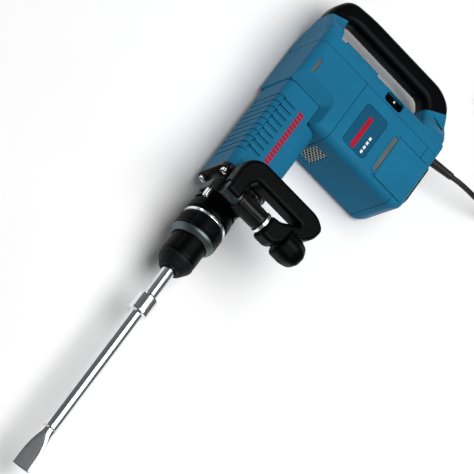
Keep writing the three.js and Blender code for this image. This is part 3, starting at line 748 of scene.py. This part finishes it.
def behind(x, y, degrees, gap):
    """All the space on the rear side of a slanted plane."""
    bm = block(x1=0)
    bm.transform(Matrix.Translation((x + gap, y, 0)) @ Matrix.Rotation(math.radians(degrees), 4, "Z"))
    return bm


def grip_space(gap):
    """The grip's room, between the slanted joints with the two arms."""
    upper = kept(behind(-147, -38, 24, gap), block(y1=80))
    lower = kept(behind(-158, 190, 31, gap), block(y0=80))
    return added(upper, lower, block(x1=-156, y0=-12, y1=80))


def arm_half(x):
    """Half width of the arms at x."""
    share = min(1, max(0, (REAR_FACE_X - x) / 46))
    return ARM_ROOT_HALF + (ARM_TIP_HALF - ARM_ROOT_HALF) * eased(share)


def arm_section(x, y0, y1):
    """A rounded rectangle across an arm, from y0 to y1."""
    oval = superellipse((y1 - y0) / 2, arm_half(x), 5, 40)
    return [(x, (y0 + y1) / 2 + a, AXIS_Z + b) for a, b in oval]


def arms():
    """Both arms, tapering from the housing to the grip, cut off at the grip's joints."""
    upper = []
    lower = []
    for i in range(21):
        x = -88 - i * 4.6
        widening = 3 * min(1, (-x - 88) / 60)
        tip = max(0, (-x - 150) / 30)
        upper.append(arm_section(x, TOP_Y - widening + 16 * tip ** 2, -14 - tip))
        inner = 168 + widening - 14 * max(0, (-x - 160) / 20)
        lower.append(arm_section(x, inner, BOTTOM_Y - 21 * max(0, (-x - 138) / 46)))
    both = joined(loft(*upper), loft(*lower))
    return cut(kept(both, prism(rounded(LOOP_CORNERS), -9, TOP_Z + 9)), grip_space(2 * GAP))


def rear_shell():
    """The rear housing with its arms, and the ledge that the switch slides in."""
    body = housing_slice(x1=REAR_SEAM_X)
    face = REAR_FACE_X + 2
    ledge = slab([(-115, -4, 2), (face, -4, 0), (face, 68, 0), (-115, 68, 2)], AXIS_Z - 43, AXIS_Z + 43, 1.8)
    slit_corners = [(-149, 188, 3), (-140, 186, 3), (-131, 211, 3), (-138, 214, 3)]
    slit = prism(rounded(slit_corners), AXIS_Z + 21, TOP_Z)
    body = added(body, cut(arms(), block(REAR_SEAM_X - 8), housing_form(WALL - 0.6), slit))
    dial_seat = prism(rounded_rect(-98, -79.5, DIAL_Y - 18, DIAL_Y + 18, 7), AXIS_Z + 53, TOP_Z + 9)
    dial_slot = block(-95, -81, DIAL_Y - 15, DIAL_Y + 15, AXIS_Z + 40, TOP_Z + 7)
    cord_hole = turned(rod(BOTTOM_Y - 8, BOTTOM_Y + 2, 8), "y", (AXIS_Z, CORD_EXIT.x))
    switch_slot = block(-118, -104, 12, 60, AXIS_Z - 11, AXIS_Z + 11)
    body = cut(body, dial_seat, dial_slot, cord_hole, switch_slot.copy())
    piece("rear_shell", body, blue, stands_for=["rear_housing"], edge=0.5)
    piece("switch_ledge", cut(ledge, switch_slot), blue)


def rear_grip():
    """The black part of the handle's loop, between the slanted joints."""
    loop = slab(LOOP_CORNERS, AXIS_Z - GRIP_HALF, AXIS_Z + GRIP_HALF, 13, steps=8)
    piece("rear_grip_core", kept(loop, grip_space(0)), black, stands_for=["rear_grip"], edge=0.6)


def controls():
    """The sliding switch, the speed dial with its white mark, and the indicator's lens."""
    corners = [(-120, 14, 2), (-115.3, 14, 0), (-115.3, 50, 0), (-120, 50, 2)]
    slider = slab(corners, AXIS_Z - 10, AXIS_Z + 10, 1.2)
    ribs = [block(-121, -119.4, 18 + 4 * i, 19.4 + 4 * i, AXIS_Z - 7, AXIS_Z + 7) for i in range(8)]
    piece("switch_slider", cut(slider, joined(*ribs)), black, "on_off_switch", ["on_off_switch"], edge=0.2)
    dial = turned(soft_profile(rod(-92.5, -83.5, DIAL_R), 1.2), "x", (DIAL_Y, DIAL_Z))
    spots = round_spots(24, DIAL_R + 0.2, (DIAL_Y, DIAL_Z))
    notches = [turned(rod(-94, -82, 0.9), "x", spot, 8) for spot in spots]
    piece("dial_wheel", cut(dial, joined(*notches)), black, "speed_dial", ["speed_dial"], edge=0.2)
    mark = block(-90, -86, DIAL_Y - 1.4, DIAL_Y + 1.4, AXIS_Z + 58, AXIS_Z + 59.6)
    piece("dial_mark", mark, white_paint, "speed_dial", edge=0.3)
    lens = slab([(-95, 147, 1.5), (-88, 147, 1.5), (-88, 153, 1.5), (-95, 153, 1.5)],
                TOP_Z - 16 + GAP, TOP_Z - 14, 0.6)
    piece("lens_window", lens, lens_clear, stands_for=["indicator_lens"])


# ---------------- barrel, flange and collar

VENTS = 9
VENT_PITCH = 12.9
VENT_X = 44
SCREW_SPOTS = [(y, AXIS_Z + z) for y, z in ((-35, -32), (-35, 32), (32, -27), (32, 27))]


def barrel_section(inset):
    """The barrel's outline in (Y, Z), with small corners above and large ones below."""
    top, low, half = BARREL_TOP_Y + inset, BARREL_LOW_Y - inset, BARREL_HALF - inset
    return rounded([(top, AXIS_Z - half, BARREL_TOP_FILLET), (low, AXIS_Z - half, BARREL_LOW_FILLET),
                    (low, AXIS_Z + half, BARREL_LOW_FILLET), (top, AXIS_Z + half, BARREL_TOP_FILLET)], 10)


def barrel():
    """The ribbed and vented barrel, with a row of slanted bars on both sides."""
    start = UPPER_FRONT_X + GAP
    outer = prism(barrel_section(0), start, BARREL_END_X, "x")
    outer = eased_edges(outer, lambda m: min(abs(m.x - start), abs(m.x - BARREL_END_X)) < 0.1, 0.8)
    hollow = prism(barrel_section(WALL), start - 1, BARREL_END_X + 1, "x")
    room = block(x1=MOTOR_FRONT_X + GAP, y0=STEP_Y - GAP)
    slots = []
    bands = []
    for i in range(VENTS):
        x = VENT_X + i * VENT_PITCH
        slots.append(block(x - 2.6, x - 0.8, -33, -8))
        for low, high in ((-5, AXIS_Z - BARREL_HALF + 1), (AXIS_Z + BARREL_HALF - 1, TOP_Z + 5)):
            slots.append(block(x + 1.4, x + 2.2, -32, -9, low, high))
    for i in range(VENTS + 1):
        x = VENT_X - 4 + i * VENT_PITCH
        bands.append(block(x - 1.1, x + 1.1, y1=-30))
    ribs = cut(joined(*bands), prism(barrel_section(1.5), -FAR, FAR, "x"))
    notch = joined(*[block(x, x + 1.2, -30, -22, AXIS_Z + BARREL_HALF - 1.2, TOP_Z) for x in (174, 183)])
    body = cut(outer, hollow, room, joined(*slots), ribs, notch)
    piece("barrel_shell", body, blue, stands_for=["barrel_housing"], edge=0.3)
    bars = []
    for low, high in ((TOP_Z - 15, TOP_Z - 14.8), (14.8, 15)):
        for i in range(15):
            x = 39 + 7.2 * i
            bars.append(prism([(x, 1), (x + 5.6, 1), (x + 6.6, 11), (x + 1, 11)], low, high))
    piece("barrel_stripe", joined(*bars), red_paint)


def flange():
    """The cast flange with its neck, bosses and webs, and its four screws."""
    top, low, left, right = TOP_Y, 48, AXIS_Z - 44, AXIS_Z + 44
    corners = [(top, left, 16), (low, left, 30), (low, right, 30), (top, right, 16)]
    plate_form = prism(rounded(corners, 10), BARREL_END_X + GAP, FLANGE_END_X, "x")
    neck = turned(soft_profile([
        (BARREL_END_X + 2, 0), (BARREL_END_X + 2, 34), (FLANGE_END_X + 4, 34),
        (FLANGE_END_X + 10, NECK_R + 2), (222, NECK_R + 2), (224, NECK_R), (NECK_END_X, NECK_R),
        (NECK_END_X, 0)], 2))
    body = added(plate_form, neck)
    boss = soft_profile(rod(BARREL_END_X + 1, FLANGE_END_X + 0.1, 9), 1)
    bosses = [turned(boss, "x", spot, 32) for spot in SCREW_SPOTS]
    web_form = [(FLANGE_END_X + along, r) for along, r in ((-3, 0), (-3, 36), (3, 35.5), (16, 30), (16, 0))]
    webs = []
    for i in range(8):
        web = block(FLANGE_END_X - 2, FLANGE_END_X + 16, 24, 35, -2, 2)
        web.transform(Matrix.Translation((0, 0, AXIS_Z)) @ Matrix.Rotation(math.pi / 4 * i + 0.39, 4, "X"))
        webs.append(kept(web, turned(web_form)))
    body = added(body, joined(*bosses), joined(*webs))
    body = cut(body, turned(rod(BARREL_END_X - 1, NECK_END_X + 1, HOLDER_R + 0.4)))
    piece("flange_casting", body, cast_black, stands_for=["front_flange"], edge=0.6)
    for i, spot in enumerate(SCREW_SPOTS):
        head = turned(soft_profile(rod(FLANGE_END_X + GAP, FLANGE_END_X + 7, 6), 0.8), "x", spot, 32)
        socket = turned(rod(FLANGE_END_X + 3, FLANGE_END_X + 8, 3), "x", spot, 6)
        piece(f"flange_screw_head_{i + 1}", cut(head, socket), bright_ring,
              stands_for=[f"flange_screw_{i + 1}"])


# ---------------- auxiliary handle

def clamp():
    """The casting that clamps round the neck and holds the handle's shaft, with its bolt."""
    x0, x1 = CLAMP_REAR_X, CLAMP_FRONT_X
    band = turned(soft_profile([(x0, 10), (x0, 36), (x0 + 4, 36), (x0 + 5.5, 34.5), (x1 - 5.5, 34.5),
                                (x1 - 4, 36), (x1, 36), (x1, 10)], 0.8))
    arm = slab([(x0, -3.5, 4), (x1, -3.5, 4), (x1, 28, 4), (x0, 28, 4)], AXIS_Z + 8, HANDLE_Z - 4, 2)
    yoke = slab([(223, -4, 2), (222, -36, 3), (237, -47.5, 4), (252, -47, 3), (251, -33, 3), (245, -28, 3),
                 (244, -4, 2)], AXIS_Z + 24, HANDLE_Z - 16.5, 2)
    hub = turned(soft_profile(rod(-3.5, HUB_END_Y, SHAFT_R + 4), 1.2), "y", SHAFT_CENTRE)
    spots = round_spots(14, SHAFT_R + 4.6, SHAFT_CENTRE)
    flutes = [turned(rod(1, HUB_END_Y - 6, 1.5), "y", spot, 10) for spot in spots]
    body = cut(added(band, arm, yoke, hub), joined(*flutes))
    neck_hole = turned(rod(x0 - 9, x1 + 9, NECK_R + GAP))
    collar_room = turned(rod(x1 + 0.5, x1 + 30, 39))
    body = cut(body, neck_hole, collar_room, turned(rod(-60, 60, SHAFT_R + GAP), "y", SHAFT_CENTRE))
    piece("clamp_casting", body, cast_black, "aux_handle", ["handle_clamp"], edge=0.6)
    profile = soft_profile([(250, 0), (250, 4.5), (264, 4.5), (266, 3), (266, 0)], 1)
    piece("clamp_bolt", turned(profile, "x", (-41, HANDLE_Z - 26), 24), bright_ring, "aux_handle")


def aux_grip():
    """The D-shaped grip moulding of the side handle."""
    corners = [
        (SHAFT_X + 8, -34, 4), (190, -34, 14), (171, -12, 14), (171, 112, 12), (184, 131, 9),
        (206, 127, 8), (SHAFT_X + 21, 78, 8), (SHAFT_X + 21, 52, 6), (SHAFT_X - 16, 52, 4),
        (SHAFT_X - 18, 68, 4), (205, 98, 6), (205, 2, 5), (214, -4, 4), (SHAFT_X + 8, -6, 4),
    ]
    body = slab(corners, HANDLE_Z - 16, HANDLE_Z + 16, 7, steps=6)
    socket = turned(rod(-60, 150, SHAFT_R + GAP), "y", SHAFT_CENTRE)
    seat = turned(rod(KNOB_SEAT_Y, 150, 26), "y", SHAFT_CENTRE)
    piece("aux_grip_moulding", cut(body, socket, seat), black, "aux_handle", ["aux_handle_grip"], edge=0.5)


def shaft_and_knob():
    """The ridged shaft of the side handle, its bright ring and the knob on its end."""
    profile = [(-32, 0), (-32, SHAFT_R)]
    for i in range(9):
        y = -28 + 9 * i
        profile += [(y, SHAFT_R), (y + 0.8, SHAFT_R - 0.8), (y + 2.4, SHAFT_R - 0.8), (y + 3.2, SHAFT_R)]
    profile += [(KNOB_SEAT_Y, SHAFT_R), (KNOB_SEAT_Y, 0)]
    shaft = turned(profile, "y", SHAFT_CENTRE, 48)
    piece("handle_shaft_rod", shaft, hub_grey, "aux_handle", ["handle_shaft"])
    washer = soft_profile(ring(HUB_END_Y + 1.5, 50.5, SHAFT_R + GAP, 18.5), 0.8)
    piece("shaft_washer", turned(washer, "y", SHAFT_CENTRE), bright_ring, "aux_handle", ["shaft_ring"])
    knob = soft_profile([(KNOB_SEAT_Y + GAP, 0), (KNOB_SEAT_Y + GAP, 23), (92, 25), (112, 25), (126, 20.5),
                         (132, 13), (134, 0)], 5, 6)
    form = turned(knob, "y", SHAFT_CENTRE, 96, 6, 1.6)
    piece("knob_moulding", form, black, "clamp_knob", ["clamp_knob"])


# ---------------- sleeves and chisel

def sleeves():
    """The chuck's collar and ring, the angle ring, the locking sleeve and the rubber nose."""
    inner = HOLDER_R + GAP
    collar = [(246, inner), (246, 33), (251, 36.5), (266, 37.5), (270, 35.5), (270.5, 34.5), (270.5, inner)]
    piece("rear_collar", turned(soft_profile(collar, 2)), black, stands_for=["chuck_rear_collar"])
    bright = soft_profile(ring(270.9, 276.2, inner, 36.4), 1)
    piece("collar_ring", turned(bright), bright_ring, stands_for=["retaining_ring"])
    vario = [(276.5, inner), (276.5, 35), (281, 38), (296, 38), (297, 37.2), (299, 37.2), (300, 38),
             (304.6, 38), (304.6, 29.9), (294, 29.9), (294, inner)]
    flute = soft_profile(rod(283, 294, 2), 0.9)
    flutes = [turned(flute, "x", spot, 12) for spot in round_spots(24, 39.2, (0, AXIS_Z))]
    body = cut(turned(soft_profile(vario, 0.8)), joined(*flutes))
    piece("vario_ring_body", body, black, "vario_ring", ["vario_ring"], edge=0.2)
    band = [(304.8, 29.9), (304.8, 37.9), (309, 36.5), (315, 31.5), (315, 29.9)]
    piece("vario_ring_band", turned(soft_profile(band, 0.6)), satin_band, "vario_ring")
    sleeve = [(309, 27), (309, 29.3), (318, 29.3), (318.6, 28.8), (319.8, 28.8), (320.4, 29.3), (346, 29.3),
              (351, 28.6), (351, inner), (339, inner), (339, 27)]
    piece("sleeve_body", turned(soft_profile(sleeve, 0.5)), black, "locking_sleeve", ["locking_sleeve"])
    cap = [(351.5, 11.5), (351.5, 29), (352.5, 29.5), (357, 28), (370, 19.5), (372, 17.5), (372, 11.5)]
    piece("nose_cap", turned(soft_profile(cap, 1.6, 6)), cap_rubber, "tool_turn", ["dust_cap"])


def blade_section(x):
    """A ring of the blade at x: round where it leaves the shaft, wide and thin at its edge."""
    flattening = eased(min(1, max(0, (x - BLADE_X) / 46)))
    thinning = min(1, max(0, (x - BLADE_X) / (CHISEL_TIP_X - BLADE_X)))
    wide = CHISEL_R + (BLADE_HALF - CHISEL_R) * flattening
    thick = CHISEL_R + (TIP_HALF - CHISEL_R) * thinning
    return [(x, y, z) for y, z in superellipse(wide, thick, 2 + 9 * flattening, 48)]


def chisel():
    """The shaft with its collar and the lock's two grooves, and the forged blade."""
    shaft = turned(soft_profile([
        (283, 0), (283, 7), (286, SHANK_R), (353, SHANK_R), (357, CHISEL_R), (428, CHISEL_R), (430, 16),
        (432, 17), (460, 17), (463, 16), (465, CHISEL_R), (SHAFT_END_X, CHISEL_R), (SHAFT_END_X, 0)], 1),
        segments=64)
    groove_y = SHANK_R - 2.8
    grooves = joined(block(295, 335, groove_y, 20, 0, FAR), block(295, 335, -20, -groove_y, 0, FAR))
    piece("chisel_shaft", cut(shaft, grooves), polished, "chisel", ["flat_chisel"])
    steps = 26
    start = SHAFT_END_X - 1
    blade = loft(*[blade_section(start + (CHISEL_TIP_X - start) * i / steps) for i in range(steps + 1)])
    blade.transform(Matrix.Translation((0, 0, AXIS_Z)) @ Matrix.Rotation(BLADE_ROLL, 4, "X"))
    piece("chisel_blade", blade, polished, "chisel")


# ---------------- power cord

BOOT_AXIS = Vector((-CORD_TILT, 1, 0)).normalized()
BOOT_END = CORD_EXIT + BOOT_AXIS * BOOT_LENGTH
CORD_ROUTE = [
    (BOOT_END.x, BOOT_END.y + 1, AXIS_Z), (-110.6, 296, 59.6), (-114, 314, 57), (-118.5, 334, 51),
    (-124, 354, 42), (-129.5, 373, 31), (-134.5, 391, 20), (-138.5, 409, 10.5), (-141.5, 427, 5.4),
    (-143.2, 446.6, 4.8), (-153, 466.4, 4.8), (-168.6, 482, 4.8), (-188.3, 491.8, 5.1),
]
TAIL_ROUTE = [
    (-270, 412, 32), (-273.5, 400, 27), (-276.5, 385, 19.5), (-279, 370, 15), (-280, 356, 15.5),
    (-280, 342, 19),
]
PLUG_CENTRE = (19, -280)  # (Z, X) of the plug's own axis, which runs along Y
COIL_START = 88  # degrees round the coil where the cord joins it
COIL_END = 180  # degrees where it leaves again, a whole number of turns and a bit later
COIL_R = COIL_MEAN_R + 1.5
BLEND = 0.56  # share of a turn over which the cord moves to its next place
JOINING = 0.28  # share of the first turn over which the cord comes in from outside
COIL_BULGE = 3.2  # how far it swings out while it climbs to the next row


def coil_slots():
    """Order of the turns: in and out across the columns, one row above another."""
    slots = []
    for row in range(COIL_ROWS):
        columns = range(COIL_COLUMNS)
        for column in columns if row % 2 == 0 else reversed(columns):
            radius = COIL_R + (1 - column) * COIL_PITCH
            slots.append((radius, COIL_FLOOR + COIL_PITCH * (row + 0.5)))
    return slots


def coil_points():
    """Centre line of the turns: each blends into its neighbour's place over part of a turn."""
    slots = coil_slots()
    per_turn = 36
    points = []
    total = (len(slots) - 1) * per_turn + round(per_turn * (COIL_END - COIL_START) / 360)
    for i in range(total):
        turn, part = divmod(i / per_turn, 1)
        now = slots[min(int(turn), len(slots) - 1)]
        following = slots[min(int(turn) + 1, len(slots) - 1)]
        share = eased(min(1, part / BLEND))
        r = now[0] + (following[0] - now[0]) * share
        z = now[1] + (following[1] - now[1]) * share
        if following[1] != now[1]:
            r += COIL_BULGE * math.sin(math.pi * share) * math.copysign(1, now[0] - COIL_R)
        if turn < 1:
            r += COIL_PITCH * 1.05 * eased(max(0, 1 - part / JOINING))
        angle = math.radians(COIL_START) + 2 * math.pi * (turn + part)
        points.append((COIL_CENTRE.x + r * math.cos(angle), COIL_CENTRE.y + r * math.sin(angle), z))
    return points


def smooth_line(points, step):
    """The same line through the points, resampled at about step with Catmull-Rom curves."""
    vectors = [Vector(p) for p in points]
    line = []
    for i in range(len(vectors) - 1):
        p0, p1 = vectors[max(i - 1, 0)], vectors[i]
        p2, p3 = vectors[i + 1], vectors[min(i + 2, len(vectors) - 1)]
        count = max(1, round((p2 - p1).length / step))
        for k in range(count):
            t = k / count
            line.append(0.5 * (2 * p1 + (p2 - p0) * t + (2 * p0 - 5 * p1 + 4 * p2 - p3) * t ** 2
                               + (3 * p1 - p0 - 3 * p2 + p3) * t ** 3))
    line.append(vectors[-1])
    return line


def tube_curve(name, line, radius, material):
    """A round tube along a line of points."""
    curve = bpy.data.curves.new(name, "CURVE")
    curve.dimensions = "3D"
    curve.bevel_depth = radius * 0.001
    curve.bevel_resolution = 6
    curve.use_fill_caps = True
    spline = curve.splines.new("POLY")
    spline.points.add(len(line) - 1)
    for point, place in zip(spline.points, line):
        point.co = (*row_point(place), 1)
    curve.materials.append(material)
    return placed(name, curve)


def boot():
    """The ribbed strain relief, tapering from the housing to the cord."""
    profile = [(0.4, CORD_R + 0.1), (0.4, 9.5), (6, 9.5), (8, 8)]
    for i in range(9):
        at = 10 + i * 4.6
        r = 8 - 1.9 * (at - 8) / 50
        profile += [(at, r), (at + 0.5, r - 1), (at + 1.9, r - 1), (at + 2.4, r)]
    profile += [(BOOT_LENGTH, 5.9), (BOOT_LENGTH, CORD_R + 0.1)]
    bm = turned(profile, "y", (0, 0), 40)
    turn = Vector((0, 1, 0)).rotation_difference(BOOT_AXIS).to_matrix().to_4x4()
    bm.transform(Matrix.Translation(CORD_EXIT) @ turn)
    return piece("cord_boot", kept(bm, block(y0=BOTTOM_Y + GAP)), cord_rubber, stands_for=["cable_boot"])


def plug():
    """The plug, with ribs on its top and round its neck, and its two pins."""
    profile = [(282, 0), (282, 18.5), (290, 18.5), (296, 15), (318, 12), (324, 9), (341, 6.5), (341, 0)]
    body = turned(soft_profile(profile, 2), "y", PLUG_CENTRE, 48)
    rings = [turned(ring(326 + 3.4 * i, 327.4 + 3.4 * i, 7, 12), "y", PLUG_CENTRE, 32) for i in range(4)]
    ribs = [block(-300, -260, 297 + 4 * i, 298.6 + 4 * i, 32.2, 60) for i in range(4)]
    body = cut(body, joined(*rings), joined(*ribs))
    result = piece("plug_body", body, cord_rubber, stands_for=["mains_plug"], edge=0.2)
    pin = soft_profile(rod(263, 283, 2.4), 1.2)
    height, across = PLUG_CENTRE
    pins = [turned(pin, "y", (height + side, across), 24) for side in (-9.5, 9.5)]
    return result, piece("plug_pins", joined(*pins), bright_ring)


def coil_tie():
    """The strap round one side of the coil."""
    top = COIL_FLOOR + COIL_ROWS * COIL_PITCH + 0.3
    loops = []
    for room, low, high, low_corner, high_corner, half in ((1.8, 0.1, top + 1.1, 2, 4, 4.5),
                                                           (0.7, COIL_FLOOR - 0.1, top, 1.5, 3, 6)):
        reach = COIL_COLUMNS * COIL_PITCH / 2 + room
        near, far = COIL_R - reach, COIL_R + reach
        corners = [(near, low, low_corner), (far, low, low_corner), (far, high, high_corner),
                   (near, high, high_corner)]
        loops.append(prism(rounded(corners), -half, half))
    bm = cut(*loops)
    # stand the loop up: its outline's second number becomes the height
    bm.transform(Matrix.Rotation(math.radians(90), 4, "X"))
    bm.transform(Matrix.Translation(COIL_CENTRE) @ Matrix.Rotation(math.radians(-50), 4, "Z"))
    return piece("cord_tie", bm, black, stands_for=["coil_tie"], edge=0.3)


def power_cord():
    """The whole cord from inside the boot to the plug, with its boot, plug and tie."""
    inside = [tuple(CORD_EXIT + BOOT_AXIS * at) for at in (0.5, 15, 30, 45)]
    line = smooth_line(inside + CORD_ROUTE + coil_points() + TAIL_ROUTE, 4)
    cord = tube_curve("mains_cord", line, CORD_R, cord_rubber)
    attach(cord, "root")
    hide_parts("power_cord", "cord_coil", "cord_tail")
    plug_body, pins = plug()
    boot()
    coil_tie()


# ---------------- studio

CAMERA_AIM = Vector((0.2389, 0.0828, -0.0262))
CAMERA_DISTANCE = 5.75
CAMERA_BACK = Vector((0.4756, -0.2710, 0.8369)).normalized()
CAMERA_UP = Vector((-0.7050, -0.6863, 0.1785))
CAMERA_LENS = 281.7
LAMP_AIM = Vector((0.2, 0.08, 0.05))
FLOOR_HALF = 12
FLOOR_DROP = 0.0005


def camera():
    """A long lens above the tool's left side, turned so that the chisel points down to the left."""
    right = CAMERA_UP.cross(CAMERA_BACK).normalized()
    up = CAMERA_BACK.cross(right)
    data = bpy.data.cameras.new("camera")
    data.lens = CAMERA_LENS
    data.sensor_width = 36
    data.clip_end = 100
    camera_object = placed("camera", data)
    turn = Matrix((right, up, CAMERA_BACK)).transposed().to_4x4()
    camera_object.matrix_world = Matrix.Translation(CAMERA_AIM + CAMERA_BACK * CAMERA_DISTANCE) @ turn
    bpy.context.scene.camera = camera_object


def lamp(name, direction, distance, size, power):
    """A soft white panel that shines on the tool from a direction in the row frame."""
    data = bpy.data.lights.new(name, "AREA")
    data.shape = "RECTANGLE"
    data.size, data.size_y = size
    data.energy = power
    light = placed(name, data)
    away = Vector(direction).normalized() * distance
    turn = away.to_track_quat("Z", "Y").to_matrix().to_4x4()
    light.matrix_world = Matrix.Translation(LAMP_AIM + away) @ turn


def studio():
    """A pale room, two soft panels and a plain pale floor."""
    world = bpy.data.worlds.new("studio")
    world.use_nodes = True
    set_inputs(world.node_tree.nodes["Background"], Color=(1, 1, 1, 1), Strength=0.13)
    bpy.context.scene.world = world
    lamp("key", (-0.52, -0.78, 0.30), 2.2, (0.5, 0.25), 4)
    lamp("overhead", (0.02, 0.16, 1), 3.0, (2.8, 2.8), 112)
    bm = bmesh.new()
    bmesh.ops.create_grid(bm, x_segments=1, y_segments=1, size=FLOOR_HALF)
    floor = placed("floor", mesh_of("floor", bm))
    floor.location.z = -FLOOR_DROP
    material, tree, principled = shader("pale_floor")
    pale = colours(tree, noise(tree, 3, 2), (0.3, (0.93, 0.93, 0.93)), (0.7, (0.95, 0.95, 0.95)))
    tree.links.new(pale, principled.inputs["Base Color"])
    set_inputs(principled, Roughness=0.9, Specular_IOR_Level=0.1)
    floor.data.materials.append(material)
    view = bpy.context.scene.view_settings
    view.view_transform = "Standard"
    view.look = "None"


dress_cad_nodes()
camera()
power_cord()
gear_shell()
motor_shell()
cap_shell()
covers()
plate()
grille()
bumper()
rear_shell()
rear_grip()
controls()
barrel()
flange()
clamp()
aux_grip()
shaft_and_knob()
sleeves()
chisel()
studio()
